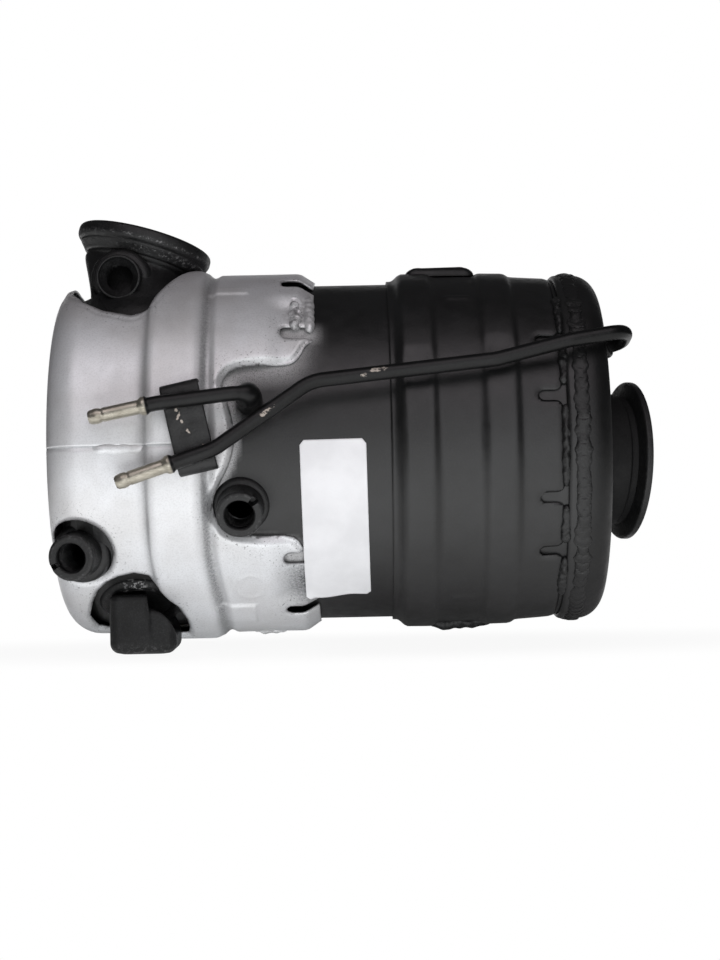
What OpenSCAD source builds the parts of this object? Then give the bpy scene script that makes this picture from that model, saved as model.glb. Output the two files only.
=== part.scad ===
// Diesel particulate filter: a round can with two bricks, heat shields, sensor bosses and pressure pipes.
// Lengths are millimetres. X runs along the can to the outlet, Z runs up to the inlet, Y runs to the rear.
// Positions along X count from the middle of the can; at_outlet() moves the origin to the outlet face.

/* [Can] */
// outside radius of the rolled can
can_r = 78; // [76:0.5:79]
// sheet thickness of the can, the inlet dome and the outlet cone
sheet = 1.5; // [1.2:0.1:1.8]
// left end of the can, inside the inlet dome
can_left = -98; // [-98:0.5:-96]
// length of the can past the filter brick
can_tail = 10; // [9:0.5:11]

/* [Bricks] */
// thickness of the swelling mat round each brick
mat_t = 4.5; // [3:0.5:6]
// left face of the catalyst brick
catalyst_left = -93; // [-95:1:-90]
// length of the catalyst brick
catalyst_len = 32; // [26:1:33]
// left face of the filter brick
filter_left = -37; // [-40:1:-34]
// length of the filter brick
filter_len = 127; // [110:1:130]
// side of one bonded filter segment
segment_w = 35; // [30:1:38]
// width and depth of the joints between segments
segment_joint = 1; // [0.6:0.1:1.5]

/* [Inlet dome and elbow] */
// left end of the dome
dome_left = -133; // [-134:0.5:-132]
// right end of the dome skirt over the can
dome_right = -72; // [-76:1:-71]
// corner radius of the dome
dome_corner = 20; // [17:1:22]
// centre of the inlet flange face along X
inlet_x = -98.6; // [-101:0.2:-97]
// height of the inlet flange face above the top of the can
inlet_rise = 22.4; // [21:0.2:25]
// lean of the inlet flange towards the outlet
inlet_lean = 15.9; // [12:0.1:18]
// lean of the inlet flange towards the rear
inlet_tip = 5; // [0:0.5:8]
// radius of the inlet bore
inlet_bore_r = 23; // [20:0.5:24]
// wall of the inlet neck
inlet_wall = 3; // [2.5:0.5:4]
// width of the inlet flange rim outside the neck
inlet_rim_w = 5.7; // [5:0.1:6.5]
// thickness of the inlet flange rim
inlet_rim_t = 4; // [3:0.5:5]
// depth of the tapered back of the inlet flange
inlet_back = 5.7; // [5:0.1:6.5]
// middle of the elbow foot along X
foot_x = -104; // [-105:0.5:-103]
// half width of the elbow foot along X
foot_r = 28; // [26:0.5:28.5]
// half distance between the round ends of the elbow foot
foot_spread = 30; // [26:1:32]
// depth of the bottom of the elbow foot below the top of the can
foot_drop = 30; // [27:1:32]
// middle of the gas passage where it enters the dome
port_x = -115; // [-116:0.5:-114]
// half width of that passage along X
port_r = 15; // [13:0.5:16]

/* [Outlet] */
// distance from the end of the can to the centre of the outlet flange face
outlet_reach = 27; // [26.5:0.5:29]
// offset of the outlet flange face to the rear
outlet_y = 3; // [0:0.5:5]
// height of the outlet flange face
outlet_z = -7; // [-10:0.5:-4]
// turn of the outlet towards the rear
outlet_turn = 11; // [6:0.5:11.5]
// dip of the outlet
outlet_dip = 2.6; // [0:0.2:5]
// radius of the outlet bore
outlet_bore_r = 28; // [25:0.5:28.5]
// wall of the outlet neck
outlet_wall = 2; // [1.5:0.5:3]
// width of the outlet flange rim outside the neck
outlet_rim_w = 7; // [6:0.5:8]
// thickness of the outlet flange rim
outlet_rim_t = 2.5; // [2:0.25:3]
// depth of the tapered back of the outlet flange
outlet_back = 2.5; // [2:0.25:3]
// width of the end ring on the can
ring_w = 7.5; // [6:0.5:9]
// length of the can inside the outlet cone
cone_lap = 2; // [1.5:0.5:3]
// thickness of the end ring and of the cone shoulder
ring_t = 2.5; // [2:0.1:3]
// radius of the cone shoulder
shoulder_r = 11; // [9:0.5:12]
// angle through which the cone shoulder bends
shoulder_bend = 70; // [60:1:72]
// length of the cone past the can
cone_len = 14.5; // [13.5:0.5:15]
// radius of the weld bead round the end ring
bead_r = 1.8; // [1.2:0.1:2]

/* [Inlet heat shield] */
// thickness of the shield sheet
shield_t = 1; // [0.8:0.1:1.2]
// left end of the shield
shield_left = -137; // [-138:0.5:-136]
// right edge of the shield, which rests on the can
shield_right = -19; // [-21:0.5:-17]
// corner radius at the left end
shield_corner = 20; // [17:1:22]
// height of the plain shield above the can
plain_lift = 5; // [4.5:0.1:5.5]
// height of the raised band above the can
band_lift = 8.3; // [7:0.1:9]
// height of the waved part above the can
wave_lift = 5.7; // [5:0.1:6.5]
// left end of the raised band
band_left = -93; // [-95:0.5:-91]
// right end of the raised band
band_right = -69; // [-70:0.5:-67]
// length of the slopes beside the raised band
band_slope = 5; // [4:0.5:6]
// length of the taper down to the can at the right edge
edge_taper = 8; // [6:0.5:9]
// height of the seam between the upper and lower front halves
seam_z = 3.5; // [2:0.5:5]
// share of each side of the recess that rounds its corners
wave_round = 0.25; // [0.1:0.05:0.35]
// width of the relief slots in the right edge
slot_w = 5.5; // [4:0.5:7]
// length of the relief slots in the right edge
slot_len = 15; // [12:0.5:16]
// shift of the elbow opening towards the overhanging side of the flange
flange_side = 3; // [2.5:0.5:4]
// room left round the elbow, the bosses and the lug
shield_room = 1.5; // [1:0.25:2]

/* [Filter heat shield] */
// left edge of the filter shield
cover_left = 14; // [12:0.5:16]
// height of the left band above the can
cover_lift = 4.5; // [4:0.1:5]
// height of the groove between the bands above the can
groove_lift = 3.3; // [2.8:0.1:3.6]
// length of the relief slots in the right edge
finger_len = 12; // [9:0.5:14]
// width of the relief slots in the right edge
finger_w = 4; // [3:0.5:6]
// left end of the joining tab on top
tab_left = 23; // [22:0.5:25]
// length of the joining tab on top
tab_len = 32; // [28:1:34]
// thickness of the joining tab
tab_t = 3; // [2:0.25:3.5]
// half angle of the joining tab
tab_half = 8; // [5:1:10]

/* [Sensor bosses] */
// outside radius of the sensor bosses
boss_r = 10.2; // [9:0.1:11]
// radius of the threaded holes in the sensor bosses
thread_r = 6.2; // [5.2:0.1:6.5]
// position of the middle boss along X
middle_boss_x = -52; // [-53:0.5:-51]
// angle of the middle boss below the front
middle_boss_drop = 17.5; // [16:0.5:19]
// height of the middle boss above the can
middle_boss_h = 14; // [13:0.5:16]
// radius of the collar at the foot of the middle boss
middle_collar_r = 11.9; // [11.5:0.1:12.5]
// face of the front boss along X
front_boss_x = -125; // [-126:0.5:-124]
// angle of the face of the front boss below the front
front_boss_drop = 28.8; // [28:0.2:30]
// distance of the face of the front boss from the can
front_boss_lift = 13.3; // [12:0.1:15]
// turn of the front boss towards the inlet end
front_boss_turn = 10; // [6:0.5:12]
// dip of the front boss
front_boss_dip = 6; // [4:0.5:10]
// face of the inlet boss along X
inlet_boss_x = -107.5; // [-108.5:0.5:-106.5]
// distance of the face of the inlet boss from the neck
inlet_boss_out = 14; // [13:0.5:17]
// distance of the middle of the inlet boss below the back of the flange
inlet_boss_gap = 8.7; // [8:0.1:10]

/* [Pressure pipes] */
// outside radius of both pressure pipes
pipe_r = 3.1; // [2.8:0.1:3.4]
// bore radius of both pressure pipes
pipe_bore_r = 2.1; // [1.6:0.1:2.2]
// bend radius of the pipes
pipe_bend = 9; // [7:0.5:9]
// height of the pipes above the can at the bracket
pipe_lift = 15; // [14.5:0.25:16]
// length of the bare nipple for the hose
nipple_len = 24; // [20:1:26]
// radius of the bead at the tip of the nipple
nipple_bead_r = 3.6; // [3.5:0.1:4]
// radius of the collar where the nipple ends
nipple_collar_r = 4.2; // [4:0.1:4.6]
// radius of the ferrules where the pipes enter
ferrule_r = 5.2; // [4.6:0.1:6]
// height of the ferrules
ferrule_h = 5; // [4:0.5:6]

/* [Bracket and lug] */
// middle of the pipe bracket along X
bracket_x = -73; // [-74:0.5:-72]
// middle of the pipe bracket in height
bracket_z = 10.5; // [9.5:0.5:11.5]
// lean of the bracket
bracket_lean = 12; // [10:0.5:14]
// width of the bracket strip
bracket_w = 17; // [14:0.5:20]
// length of the bracket strip
bracket_len = 40; // [38:1:43]
// thickness of the bracket strip
bracket_t = 2; // [1.5:0.25:2.5]
// room round a pipe in its seat in the bracket
pipe_room = 0.05; // [0.03:0.01:0.1]
// depth of the seats of the pipes in the bracket
seat_depth = 0.4; // [0.2:0.1:0.8]
// middle of the support lug along X
lug_x = -97.4; // [-98:0.2:-97]
// width of the support lug
lug_w = 30.5; // [27:0.5:32]
// distance of the flat bottom of the lug below the can
lug_drop = 10.8; // [10:0.2:13]
// angle below the front at which the lug starts on the dome
lug_angle = 40; // [39:0.5:42]
// depth of the flat bottom of the lug from front to rear
lug_depth = 33; // [30:0.5:36]

/* [Hidden] */
$fn = 72;
hull_fn = 32;
// step by which a tapered body stands out from the round end that it meets
hull_step = 1.2;
// depth below the inlet face at which the elbow starts to widen
widen_z = 16;
far = 400;
can_right = filter_left + filter_len + can_tail;
outlet_x = can_right + outlet_reach;
ring_right = can_right - cone_lap;
ring_left = ring_right - ring_w;
cone_right = can_right + cone_len;
inlet_z = can_r + inlet_rise;
foot_z = can_r - foot_drop;
inlet_neck_r = inlet_bore_r + inlet_wall;
inlet_rim_r = inlet_neck_r + inlet_rim_w;
inlet_depth = inlet_rim_t + inlet_back;
bore_len = inlet_depth + hull_step;
outlet_neck_r = outlet_bore_r + outlet_wall;
outlet_rim_r = outlet_neck_r + outlet_rim_w;
outlet_depth = outlet_rim_t + outlet_back;
front_boss_y = -(can_r + front_boss_lift) * cos(front_boss_drop);
front_boss_z = -(can_r + front_boss_lift) * sin(front_boss_drop);
inlet_boss_y = -inlet_neck_r - inlet_boss_out;
inlet_boss_z = inlet_z - inlet_depth - inlet_boss_gap;
dome_r = can_r + sheet;
lug_front = -dome_r * cos(lug_angle);
lug_top = -dome_r * sin(lug_angle + 3);
lug_bottom = -can_r - lug_drop;
brick_r = can_r - sheet - mat_t;
cone_r = can_r + ring_t;
wave_r_out = can_r + wave_lift;
// outline of the recess in the shield as seen from the front, X and Z
recess = [
    [0, 70], [-20, 52], [-30.7, 39.6], [-51, 38.7], [-58.2, 32.8], [-58.9, 24.5], [-54.2, 13.5],
    [-54.4, 2.7], [-59.4, -11.4], [-64, -23], [-60.3, -33.9], [-52.8, -38.5], [-31, -39.4],
    [-20, -50], [0, -70]
];
// angles of the relief slots, counted upwards from the front
slot_angles = [62.4, 39, -35.4, -56.4];
finger_angles = [-36, -16.5, 16.5, 36];
// direction out of the middle pipe hole, and the route of each pipe
front_route = [
    [-115, -can_r - pipe_lift - 0.5, 15.3],
    [-86, -can_r - pipe_lift, 21],
    [-47.2, -can_r - pipe_lift + 2.5, 25.3],
    [-47.2, -(can_r - sheet) * 0.963, (can_r - sheet) * 0.2692]
];
rear_route = [
    [-104, -can_r - pipe_lift - 0.5, -12.6],
    [-62, -can_r - pipe_lift, 1],
    [-20.4, -can_r - 8, 29.4],
    [can_right - 40, -can_r - 2.5, 37.5],
    [can_right - 7.5, -can_r + 2, 45.4],
    [can_right + 18.3, -can_r + 8, 49.6],
    [can_right + 18, -can_r + 27, 45.5],
    [can_right + 8, -can_r + 31.5, 43]
];

// Frames

// moves the middle of the can so that the outlet face is the origin
module at_outlet() {
    translate([-outlet_x, -outlet_y, -outlet_z]) children();
}

// turns a shape drawn along Z so that it lies along X
module along_can(x = 0) {
    translate([x, 0, 0]) rotate([0, 90, 0]) children();
}

// revolves an outline of [X, radius] points about the can axis
module revolve(points) {
    rotate([0, 90, 0]) rotate_extrude() polygon([for (p = points) [p[1], p[0]]]);
}

// local Z points out of the inlet flange
module at_inlet() {
    translate([inlet_x, 0, inlet_z]) rotate([-inlet_tip, inlet_lean, 0]) children();
}

// local Z points out of the outlet flange
module at_outlet_flange() {
    translate([outlet_x, outlet_y, outlet_z]) rotate([0, outlet_dip, outlet_turn]) rotate([0, 90, 0]) children();
}

// local Z points out of the front sensor boss
module at_front_boss() {
    translate([front_boss_x, front_boss_y, front_boss_z])
        rotate([front_boss_dip, 0, -front_boss_turn]) rotate([90, 0, 0]) children();
}

// local Z points out of the inlet sensor boss
module at_inlet_boss() {
    translate([inlet_boss_x, inlet_boss_y, inlet_boss_z]) rotate([90, 0, 0]) children();
}

// local Z points out of the can at the middle sensor boss
module at_middle_boss() {
    translate([middle_boss_x, 0, 0]) rotate([90 + middle_boss_drop, 0, 0]) children();
}

// points on a quarter circle from the left end to the top of a rounded corner
function corner(x, r_out, r, steps = 8) =
    [for (i = [0:steps]) [x + r - r * cos(90 * i / steps), r_out - r + r * sin(90 * i / steps)]];

// open line with each inner corner cut, which rounds it when repeated
function cut_corners(line) =
    let (last = len(line) - 1)
    concat(
        [line[0]],
        [for (i = [1:last - 1]) each [
            line[i] + (line[i - 1] - line[i]) * wave_round,
            line[i] + (line[i + 1] - line[i]) * wave_round
        ]],
        [line[last]]
    );

// Pipes

function unit(v) = v / norm(v);

function turn_at(path, i) = acos(unit(path[i] - path[i - 1]) * unit(path[i + 1] - path[i]));

// stations [point, direction] along a path whose inner corners are rounded
function bend_stations(path, i, steps = 6) =
    let (a = unit(path[i] - path[i - 1]))
    let (b = unit(path[i + 1] - path[i]))
    let (turn = turn_at(path, i))
    let (n = unit(b - a * (a * b)))
    let (start = path[i] - a * pipe_bend * tan(turn / 2))
    [for (k = [0:steps])
        let (t = turn * k / steps)
        [start + n * pipe_bend * (1 - cos(t)) + a * pipe_bend * sin(t), a * cos(t) + n * sin(t)]];

function stations(path) =
    let (last = len(path) - 1)
    concat(
        [[path[0], unit(path[1] - path[0])]],
        [for (i = [1:last - 1]) each bend_stations(path, i)],
        [[path[last], unit(path[last] - path[last - 1])]]
    );

function ring_points(station, r, sides) =
    let (side = unit(cross(station[1], [0, 0, 1])))
    let (up = cross(side, station[1]))
    [for (j = [0:sides - 1]) station[0] + r * (side * cos(360 * j / sides) + up * sin(360 * j / sides))];

// hollow pipe along a path, as one closed skin
module pipe(path, sides = 18) {
    line = stations(path);
    count = len(line);
    inner = count * sides;
    outside = [for (s = line) each ring_points(s, pipe_r, sides)];
    inside = [for (s = line) each ring_points(s, pipe_bore_r, sides)];
    end = (count - 1) * sides;
    walls = [for (i = [0:count - 2], j = [0:sides - 1])
        let (a = i * sides + j)
        let (b = i * sides + (j + 1) % sides)
        each [
            [a, b, a + sides], [b, b + sides, a + sides],
            [inner + a, inner + a + sides, inner + b], [inner + b, inner + a + sides, inner + b + sides]
        ]];
    ends = [for (j = [0:sides - 1])
        let (b = (j + 1) % sides)
        each [
            [j, inner + j, b], [b, inner + j, inner + b],
            [end + j, end + b, inner + end + j], [end + b, inner + end + b, inner + end + j]
        ]];
    polyhedron(points = concat(outside, inside), faces = concat(walls, ends), convexity = 6);
}

// turns a shape drawn along Z so that it runs from one point towards another
module towards(from, to) {
    d = unit(to - from);
    translate(from) rotate([0, acos(d[2]), atan2(d[1], d[0])]) children();
}

// pipe from the end of its nipple, with the turned nipple and its bead in front
module pipe_with_nipple(route) {
    d = unit(route[1] - route[0]);
    start = route[0] + d * (nipple_len + 1);
    rest = [for (i = [1:len(route) - 1]) route[i]];
    pipe(concat([start], rest));
    towards(route[0], route[1]) rotate_extrude() polygon([
        [pipe_bore_r - 0.3, 0], [pipe_r - 0.4, 0], [pipe_r, 0.8], [pipe_r, 3], [nipple_bead_r, 3.8],
        [nipple_bead_r, 5.2], [pipe_r, 6], [pipe_r, nipple_len], [nipple_collar_r, nipple_len],
        [nipple_collar_r, nipple_len + 2], [pipe_bore_r - 0.3, nipple_len + 2]
    ]);
}

// Shared volumes

module can_solid() {
    along_can(can_left) cylinder(r = can_r, h = can_right - can_left);
}

module dome_solid(inset = 0) {
    revolve(concat(
        [[dome_left + inset, 0]],
        corner(dome_left + inset, dome_r - inset, dome_corner - inset),
        [[dome_right, dome_r - inset], [dome_right, 0]]
    ));
}

module cone_solid(inset = 0) {
    rim = cone_r - (inset > 0 ? ring_t : 0);
    r = shoulder_r - inset;
    top = [for (i = [0:7])
        let (a = shoulder_bend * i / 7)
        [can_right + r * sin(a), rim - r + r * cos(a)]];
    revolve(concat(
        [[ring_right, 0], [ring_right, rim]],
        top,
        [[cone_right - inset, outlet_neck_r], [cone_right - inset, 0]]
    ));
}

// straight hole through the outlet, along its own axis
module outlet_hole() {
    at_outlet_flange() translate([0, 0, -30]) cylinder(r = outlet_bore_r, h = 60);
}

module shield_volume(inset = 0) {
    plain = can_r + plain_lift - inset;
    band = can_r + band_lift - inset;
    wave = wave_r_out - inset;
    half = band_slope / 2;
    revolve(concat(
        [[shield_left + inset, 0]],
        corner(shield_left + inset, plain, shield_corner - inset),
        [
            [band_left - half, plain], [band_left + half, band],
            [band_right - half, band], [band_right + half, wave],
            [shield_right - edge_taper, wave], [shield_right, can_r + shield_t - inset], [shield_right, 0]
        ]
    ));
}

// the casting of the elbow without its passage, down to the foot
module elbow_solid() {
    at_inlet() translate([0, 0, -widen_z - 4])
        cylinder(r = inlet_neck_r, h = widen_z + 4 - inlet_depth);
    hull() {
        at_inlet() translate([0, 0, -widen_z - 1])
            cylinder(r = inlet_neck_r + hull_step, h = 1, $fn = hull_fn);
        for (side = [-1, 1])
            translate([foot_x, side * foot_spread, foot_z]) cylinder(r = foot_r, h = 1, $fn = hull_fn);
    }
}

// gas passage from the inlet bore down into the dome
module elbow_passage() {
    at_inlet() translate([0, 0, -bore_len - 5]) cylinder(r = inlet_bore_r, h = 40);
    hull() {
        at_inlet() translate([0, 0, -bore_len - 7])
            cylinder(r = inlet_bore_r + hull_step, h = 7, $fn = hull_fn);
        port_ends() cylinder(r = port_r, h = 1, $fn = hull_fn);
    }
}

module port_ends() {
    for (side = [-1, 1])
        translate([port_x, side * foot_spread / 2, foot_z]) children();
}

// oval opening of the dome below the elbow
module dome_port() {
    translate([0, 0, foot_z]) linear_extrude(60) hull()
        for (side = [-1, 1])
            translate([port_x, side * foot_spread / 2]) circle(r = port_r, $fn = hull_fn);
}

// room for the elbow in the shield and in the insulation below it
module elbow_opening(room) {
    translate([0, 0, foot_z - 10]) linear_extrude(80) hull()
        for (side = [-1, 1])
            translate([foot_x + flange_side, side * foot_spread * 0.8])
                circle(r = foot_r + flange_side / 3 + room, $fn = hull_fn);
}

// room for the front boss in the shield and in the insulation below it
module front_boss_opening(room) {
    at_front_boss() translate([0, 0, -40]) cylinder(r = boss_r + 2 + room, h = 60);
}

// room for the lug in the shield and in the insulation below it
module lug_opening(room) {
    width = lug_w + 12 + 2 * room;
    height = 46 + 2 * room;
    translate([lug_x - 1, 0, 0]) rotate([90 + 58, 0, 0]) linear_extrude(140)
        offset(r = 9) square([width - 18, height - 18], center = true);
}

module shield_openings(room) {
    elbow_opening(room);
    front_boss_opening(room);
    lug_opening(room);
}

// waved recess of the front of the shield
module recess_cut() {
    translate([0, -can_r / 4, 0]) rotate([90, 0, 0]) linear_extrude(far / 2)
        polygon(cut_corners(cut_corners(recess)));
}

// round-ended relief slots that open at an edge; the length runs towards negative X
module edge_slots(edge, length, width, angles) {
    for (a = angles)
        rotate([90 - a, 0, 0]) linear_extrude(far / 2) {
            translate([edge - length + width / 2, 0]) circle(d = width, $fn = hull_fn);
            translate([edge - length + width / 2, -width / 2]) square([length, width]);
        }
}

module inlet_shield_shell() {
    difference() {
        shield_volume();
        shield_volume(shield_t);
        shield_openings(shield_room);
    }
}

module inlet_shield_front() {
    difference() {
        inlet_shield_shell();
        translate([-far / 2, 0, -far / 2]) cube([far, far, far]);
        recess_cut();
        edge_slots(shield_right, slot_len, slot_w, slot_angles);
    }
}

module cover_volume(inset = 0) {
    foot = can_r + shield_t - inset;
    high = can_r + cover_lift - inset;
    low = can_r + groove_lift - inset;
    revolve([
        [cover_left, 0], [cover_left, foot], [cover_left + 2, foot], [cover_left + 6, high],
        [cover_left + 19, high], [cover_left + 21, low], [cover_left + 39, low],
        [cover_left + 41, high - 0.2], [cover_left + 55, high - 0.5], [cover_left + 57.5, low - 0.6],
        [ring_left, foot], [ring_left, 0]
    ]);
}

module filter_shield_shell() {
    difference() {
        cover_volume();
        cover_volume(shield_t);
        edge_slots(ring_left, finger_len, finger_w, finger_angles);
        mirror([0, 1, 0]) edge_slots(ring_left, finger_len, finger_w, finger_angles);
    }
}

// brick cut into bonded segments by joints on both end faces
module brick(left, length, joints) {
    difference() {
        along_can(left) cylinder(r = brick_r, h = length);
        if (joints)
            for (end = [left, left + length], i = [-1, 0, 1]) {
                translate([end, i * segment_w, 0])
                    cube([2 * segment_joint, segment_joint, 3 * brick_r], center = true);
                translate([end, 0, i * segment_w])
                    cube([2 * segment_joint, 3 * brick_r, segment_joint], center = true);
            }
    }
}

module mat(left, length) {
    along_can(left) difference() {
        cylinder(r = brick_r + mat_t, h = length);
        translate([0, 0, -1]) cylinder(r = brick_r, h = length + 2);
    }
}

module thread_hole(depth) {
    translate([0, 0, -depth]) cylinder(r = thread_r, h = depth + 1);
    translate([0, 0, -1.5]) cylinder(r1 = thread_r, r2 = thread_r + 1.6, h = 1.6);
}

// Nodes

module inlet_flange() {
    color([0.13, 0.13, 0.14]) at_outlet() at_inlet() rotate_extrude() polygon([
        [inlet_bore_r, 0], [inlet_rim_r - 0.6, 0], [inlet_rim_r, -0.6], [inlet_rim_r, -inlet_rim_t],
        [inlet_neck_r, -inlet_depth], [inlet_bore_r, -inlet_depth]
    ]);
}

module inlet_elbow() {
    color([0.12, 0.12, 0.13]) at_outlet() difference() {
        elbow_solid();
        elbow_passage();
        dome_solid();
        at_inlet_boss() translate([0, 0, -45]) cylinder(r = thread_r, h = 60);
    }
}

module inlet_sensor_boss() {
    color([0.11, 0.11, 0.12]) at_outlet() difference() {
        at_inlet_boss() {
            translate([0, 0, -17]) cylinder(r = boss_r, h = 17);
            translate([0, 0, -17]) cylinder(r = boss_r + 1.8, h = 8);
        }
        elbow_solid();
        at_inlet_boss() thread_hole(30);
    }
}

module inlet_dome() {
    color([0.16, 0.16, 0.17]) at_outlet() difference() {
        dome_solid();
        dome_solid(sheet);
        dome_port();
        at_front_boss() translate([0, 0, -40]) cylinder(r = thread_r, h = 60);
    }
}

module main_can() {
    color([0.10, 0.10, 0.11]) at_outlet() difference() {
        can_solid();
        along_can(can_left - 1) cylinder(r = can_r - sheet, h = far);
        at_middle_boss() translate([0, 0, can_r - 20]) cylinder(r = thread_r, h = 60);
        towards(front_route[3], front_route[2]) translate([0, 0, -6]) cylinder(r = pipe_r, h = 30);
    }
}

module catalyst_brick() {
    color([0.75, 0.72, 0.64]) at_outlet() brick(catalyst_left, catalyst_len, false);
}

module catalyst_mat() {
    color([0.85, 0.85, 0.82]) at_outlet() mat(catalyst_left, catalyst_len);
}

module filter_brick() {
    color([0.33, 0.33, 0.34]) at_outlet() brick(filter_left, filter_len, true);
}

module filter_mat() {
    color([0.85, 0.85, 0.82]) at_outlet() mat(filter_left, filter_len);
}

module end_ring() {
    color([0.10, 0.10, 0.11]) at_outlet() along_can(ring_left) difference() {
        cylinder(r = cone_r, h = ring_right - ring_left);
        translate([0, 0, -1]) cylinder(r = can_r, h = ring_right - ring_left + 2);
    }
}

module end_weld() {
    color([0.09, 0.09, 0.10]) at_outlet() along_can(ring_right) rotate_extrude() intersection() {
        translate([cone_r, 0]) circle(r = bead_r, $fn = hull_fn);
        translate([cone_r, -bead_r]) square([bead_r, 2 * bead_r]);
    }
}

module outlet_cone() {
    color([0.11, 0.11, 0.12]) at_outlet() difference() {
        cone_solid();
        cone_solid(sheet);
        along_can(can_left) cylinder(r = can_r, h = can_right - can_left);
        outlet_hole();
        towards(rear_route[7], rear_route[6]) translate([0, 0, -8]) cylinder(r = pipe_r, h = 16);
    }
}

module outlet_neck() {
    color([0.11, 0.11, 0.12]) at_outlet() difference() {
        at_outlet_flange() translate([0, 0, -outlet_reach + cone_len - 8])
            cylinder(r = outlet_neck_r, h = outlet_reach - cone_len + 8 - outlet_depth);
        cone_solid();
        outlet_hole();
    }
}

module outlet_flange() {
    color([0.12, 0.12, 0.13]) at_outlet() at_outlet_flange() rotate_extrude() polygon([
        [outlet_bore_r, 0], [outlet_rim_r - 0.6, 0], [outlet_rim_r, -0.6], [outlet_rim_r, -outlet_rim_t],
        [outlet_neck_r + 1, -outlet_depth], [outlet_bore_r, -outlet_depth]
    ]);
}

module inlet_shield_upper() {
    color([0.74, 0.73, 0.75]) at_outlet() intersection() {
        inlet_shield_front();
        translate([-far / 2, -far / 2, seam_z]) cube([far, far, far]);
    }
}

module inlet_shield_lower() {
    color([0.76, 0.76, 0.79]) at_outlet() difference() {
        inlet_shield_front();
        translate([-far / 2, -far / 2, seam_z]) cube([far, far, far]);
    }
}

module inlet_shield_rear() {
    color([0.72, 0.72, 0.75]) at_outlet() difference() {
        inlet_shield_shell();
        translate([-far / 2, -far, -far / 2]) cube([far, far, far]);
        mirror([0, 1, 0]) edge_slots(shield_right, slot_len, slot_w, slot_angles);
    }
}

module inlet_insulation() {
    color([0.82, 0.80, 0.74]) at_outlet() difference() {
        shield_volume(shield_t);
        dome_solid();
        along_can(dome_right - 2) cylinder(r = far / 2, h = far);
        shield_openings(shield_room + 2);
    }
}

module filter_shield_front() {
    color([0.14, 0.14, 0.15]) at_outlet() difference() {
        filter_shield_shell();
        translate([-far / 2, 0, -far / 2]) cube([far, far, far]);
    }
}

module filter_shield_rear() {
    high = can_r + cover_lift;
    color([0.13, 0.13, 0.14]) at_outlet() {
        difference() {
            filter_shield_shell();
            translate([-far / 2, -far, -far / 2]) cube([far, far, far]);
        }
        along_can(tab_left) rotate([0, 0, 180 - tab_half]) rotate_extrude(angle = 2 * tab_half)
            translate([high, 0]) square([tab_t, tab_len]);
    }
}

module filter_insulation() {
    color([0.82, 0.80, 0.74]) at_outlet() difference() {
        cover_volume(shield_t);
        along_can(can_left) cylinder(r = can_r, h = far);
        along_can(-far) cylinder(r = far / 2, h = far + cover_left + 6);
        along_can(ring_left - finger_len - 3) cylinder(r = far / 2, h = far);
    }
}

module front_sensor_boss() {
    color([0.09, 0.09, 0.10]) at_outlet() difference() {
        at_front_boss() {
            translate([0, 0, -30]) cylinder(r = boss_r, h = 30);
            translate([0, 0, -30]) cylinder(r = boss_r + 1.5, h = 17);
        }
        dome_solid();
        at_front_boss() thread_hole(40);
    }
}

module middle_sensor_boss() {
    color([0.09, 0.09, 0.10]) at_outlet() difference() {
        at_middle_boss() {
            cylinder(r = boss_r, h = can_r + middle_boss_h);
            cylinder(r = middle_collar_r, h = can_r + 4);
        }
        can_solid();
        at_middle_boss() translate([0, 0, can_r + middle_boss_h]) thread_hole(30);
    }
}

module front_pressure_pipe() {
    color([0.08, 0.08, 0.09]) at_outlet() pipe_with_nipple(front_route);
}

module rear_pressure_pipe() {
    color([0.08, 0.08, 0.09]) at_outlet() pipe_with_nipple(rear_route);
}

// ring that seats a pipe where it enters a skin
module ferrule(inside, outside, tall) {
    towards(inside, outside) translate([0, 0, -3]) difference() {
        cylinder(r = ferrule_r, h = 3 + tall);
        translate([0, 0, -1]) cylinder(r = pipe_r, h = 20);
    }
}

module front_pipe_ferrule() {
    color([0.09, 0.09, 0.10]) at_outlet() difference() {
        ferrule(front_route[3], front_route[2], ferrule_h + 4);
        can_solid();
    }
}

module rear_pipe_ferrule() {
    color([0.09, 0.09, 0.10]) at_outlet() difference() {
        ferrule(rear_route[7], rear_route[6], ferrule_h + 0.8);
        cone_solid();
    }
}

module pipe_bracket() {
    plate_y = -can_r - pipe_lift + pipe_r - seat_depth;
    color([0.12, 0.12, 0.12]) at_outlet() difference() {
        translate([bracket_x, plate_y, bracket_z]) rotate([0, -bracket_lean, 0]) {
            translate([-bracket_w / 2, 0, -bracket_len / 2]) cube([bracket_w, bracket_t, bracket_len]);
            for (end = [-1, 1])
                translate([-bracket_w / 2, 0, end * (bracket_len - bracket_t) / 2 - bracket_t / 2])
                    cube([bracket_w, 14, bracket_t]);
        }
        shield_volume();
        for (route = [front_route, rear_route], i = [0, 1])
            towards(route[i], route[i + 1]) translate([0, 0, -1]) cylinder(r = pipe_r + pipe_room, h = 60);
    }
}

module support_lug() {
    color([0.09, 0.09, 0.10]) at_outlet() difference() {
        translate([lug_x - lug_w / 2, 0, 0]) rotate([90, 0, 90]) linear_extrude(lug_w)
            offset(r = 4) offset(r = -4) polygon([
                [lug_front, lug_top], [lug_front, lug_bottom], [lug_front + lug_depth, lug_bottom],
                [lug_front + lug_depth + 3, lug_bottom + 24]
            ]);
        dome_solid();
    }
}

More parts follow.
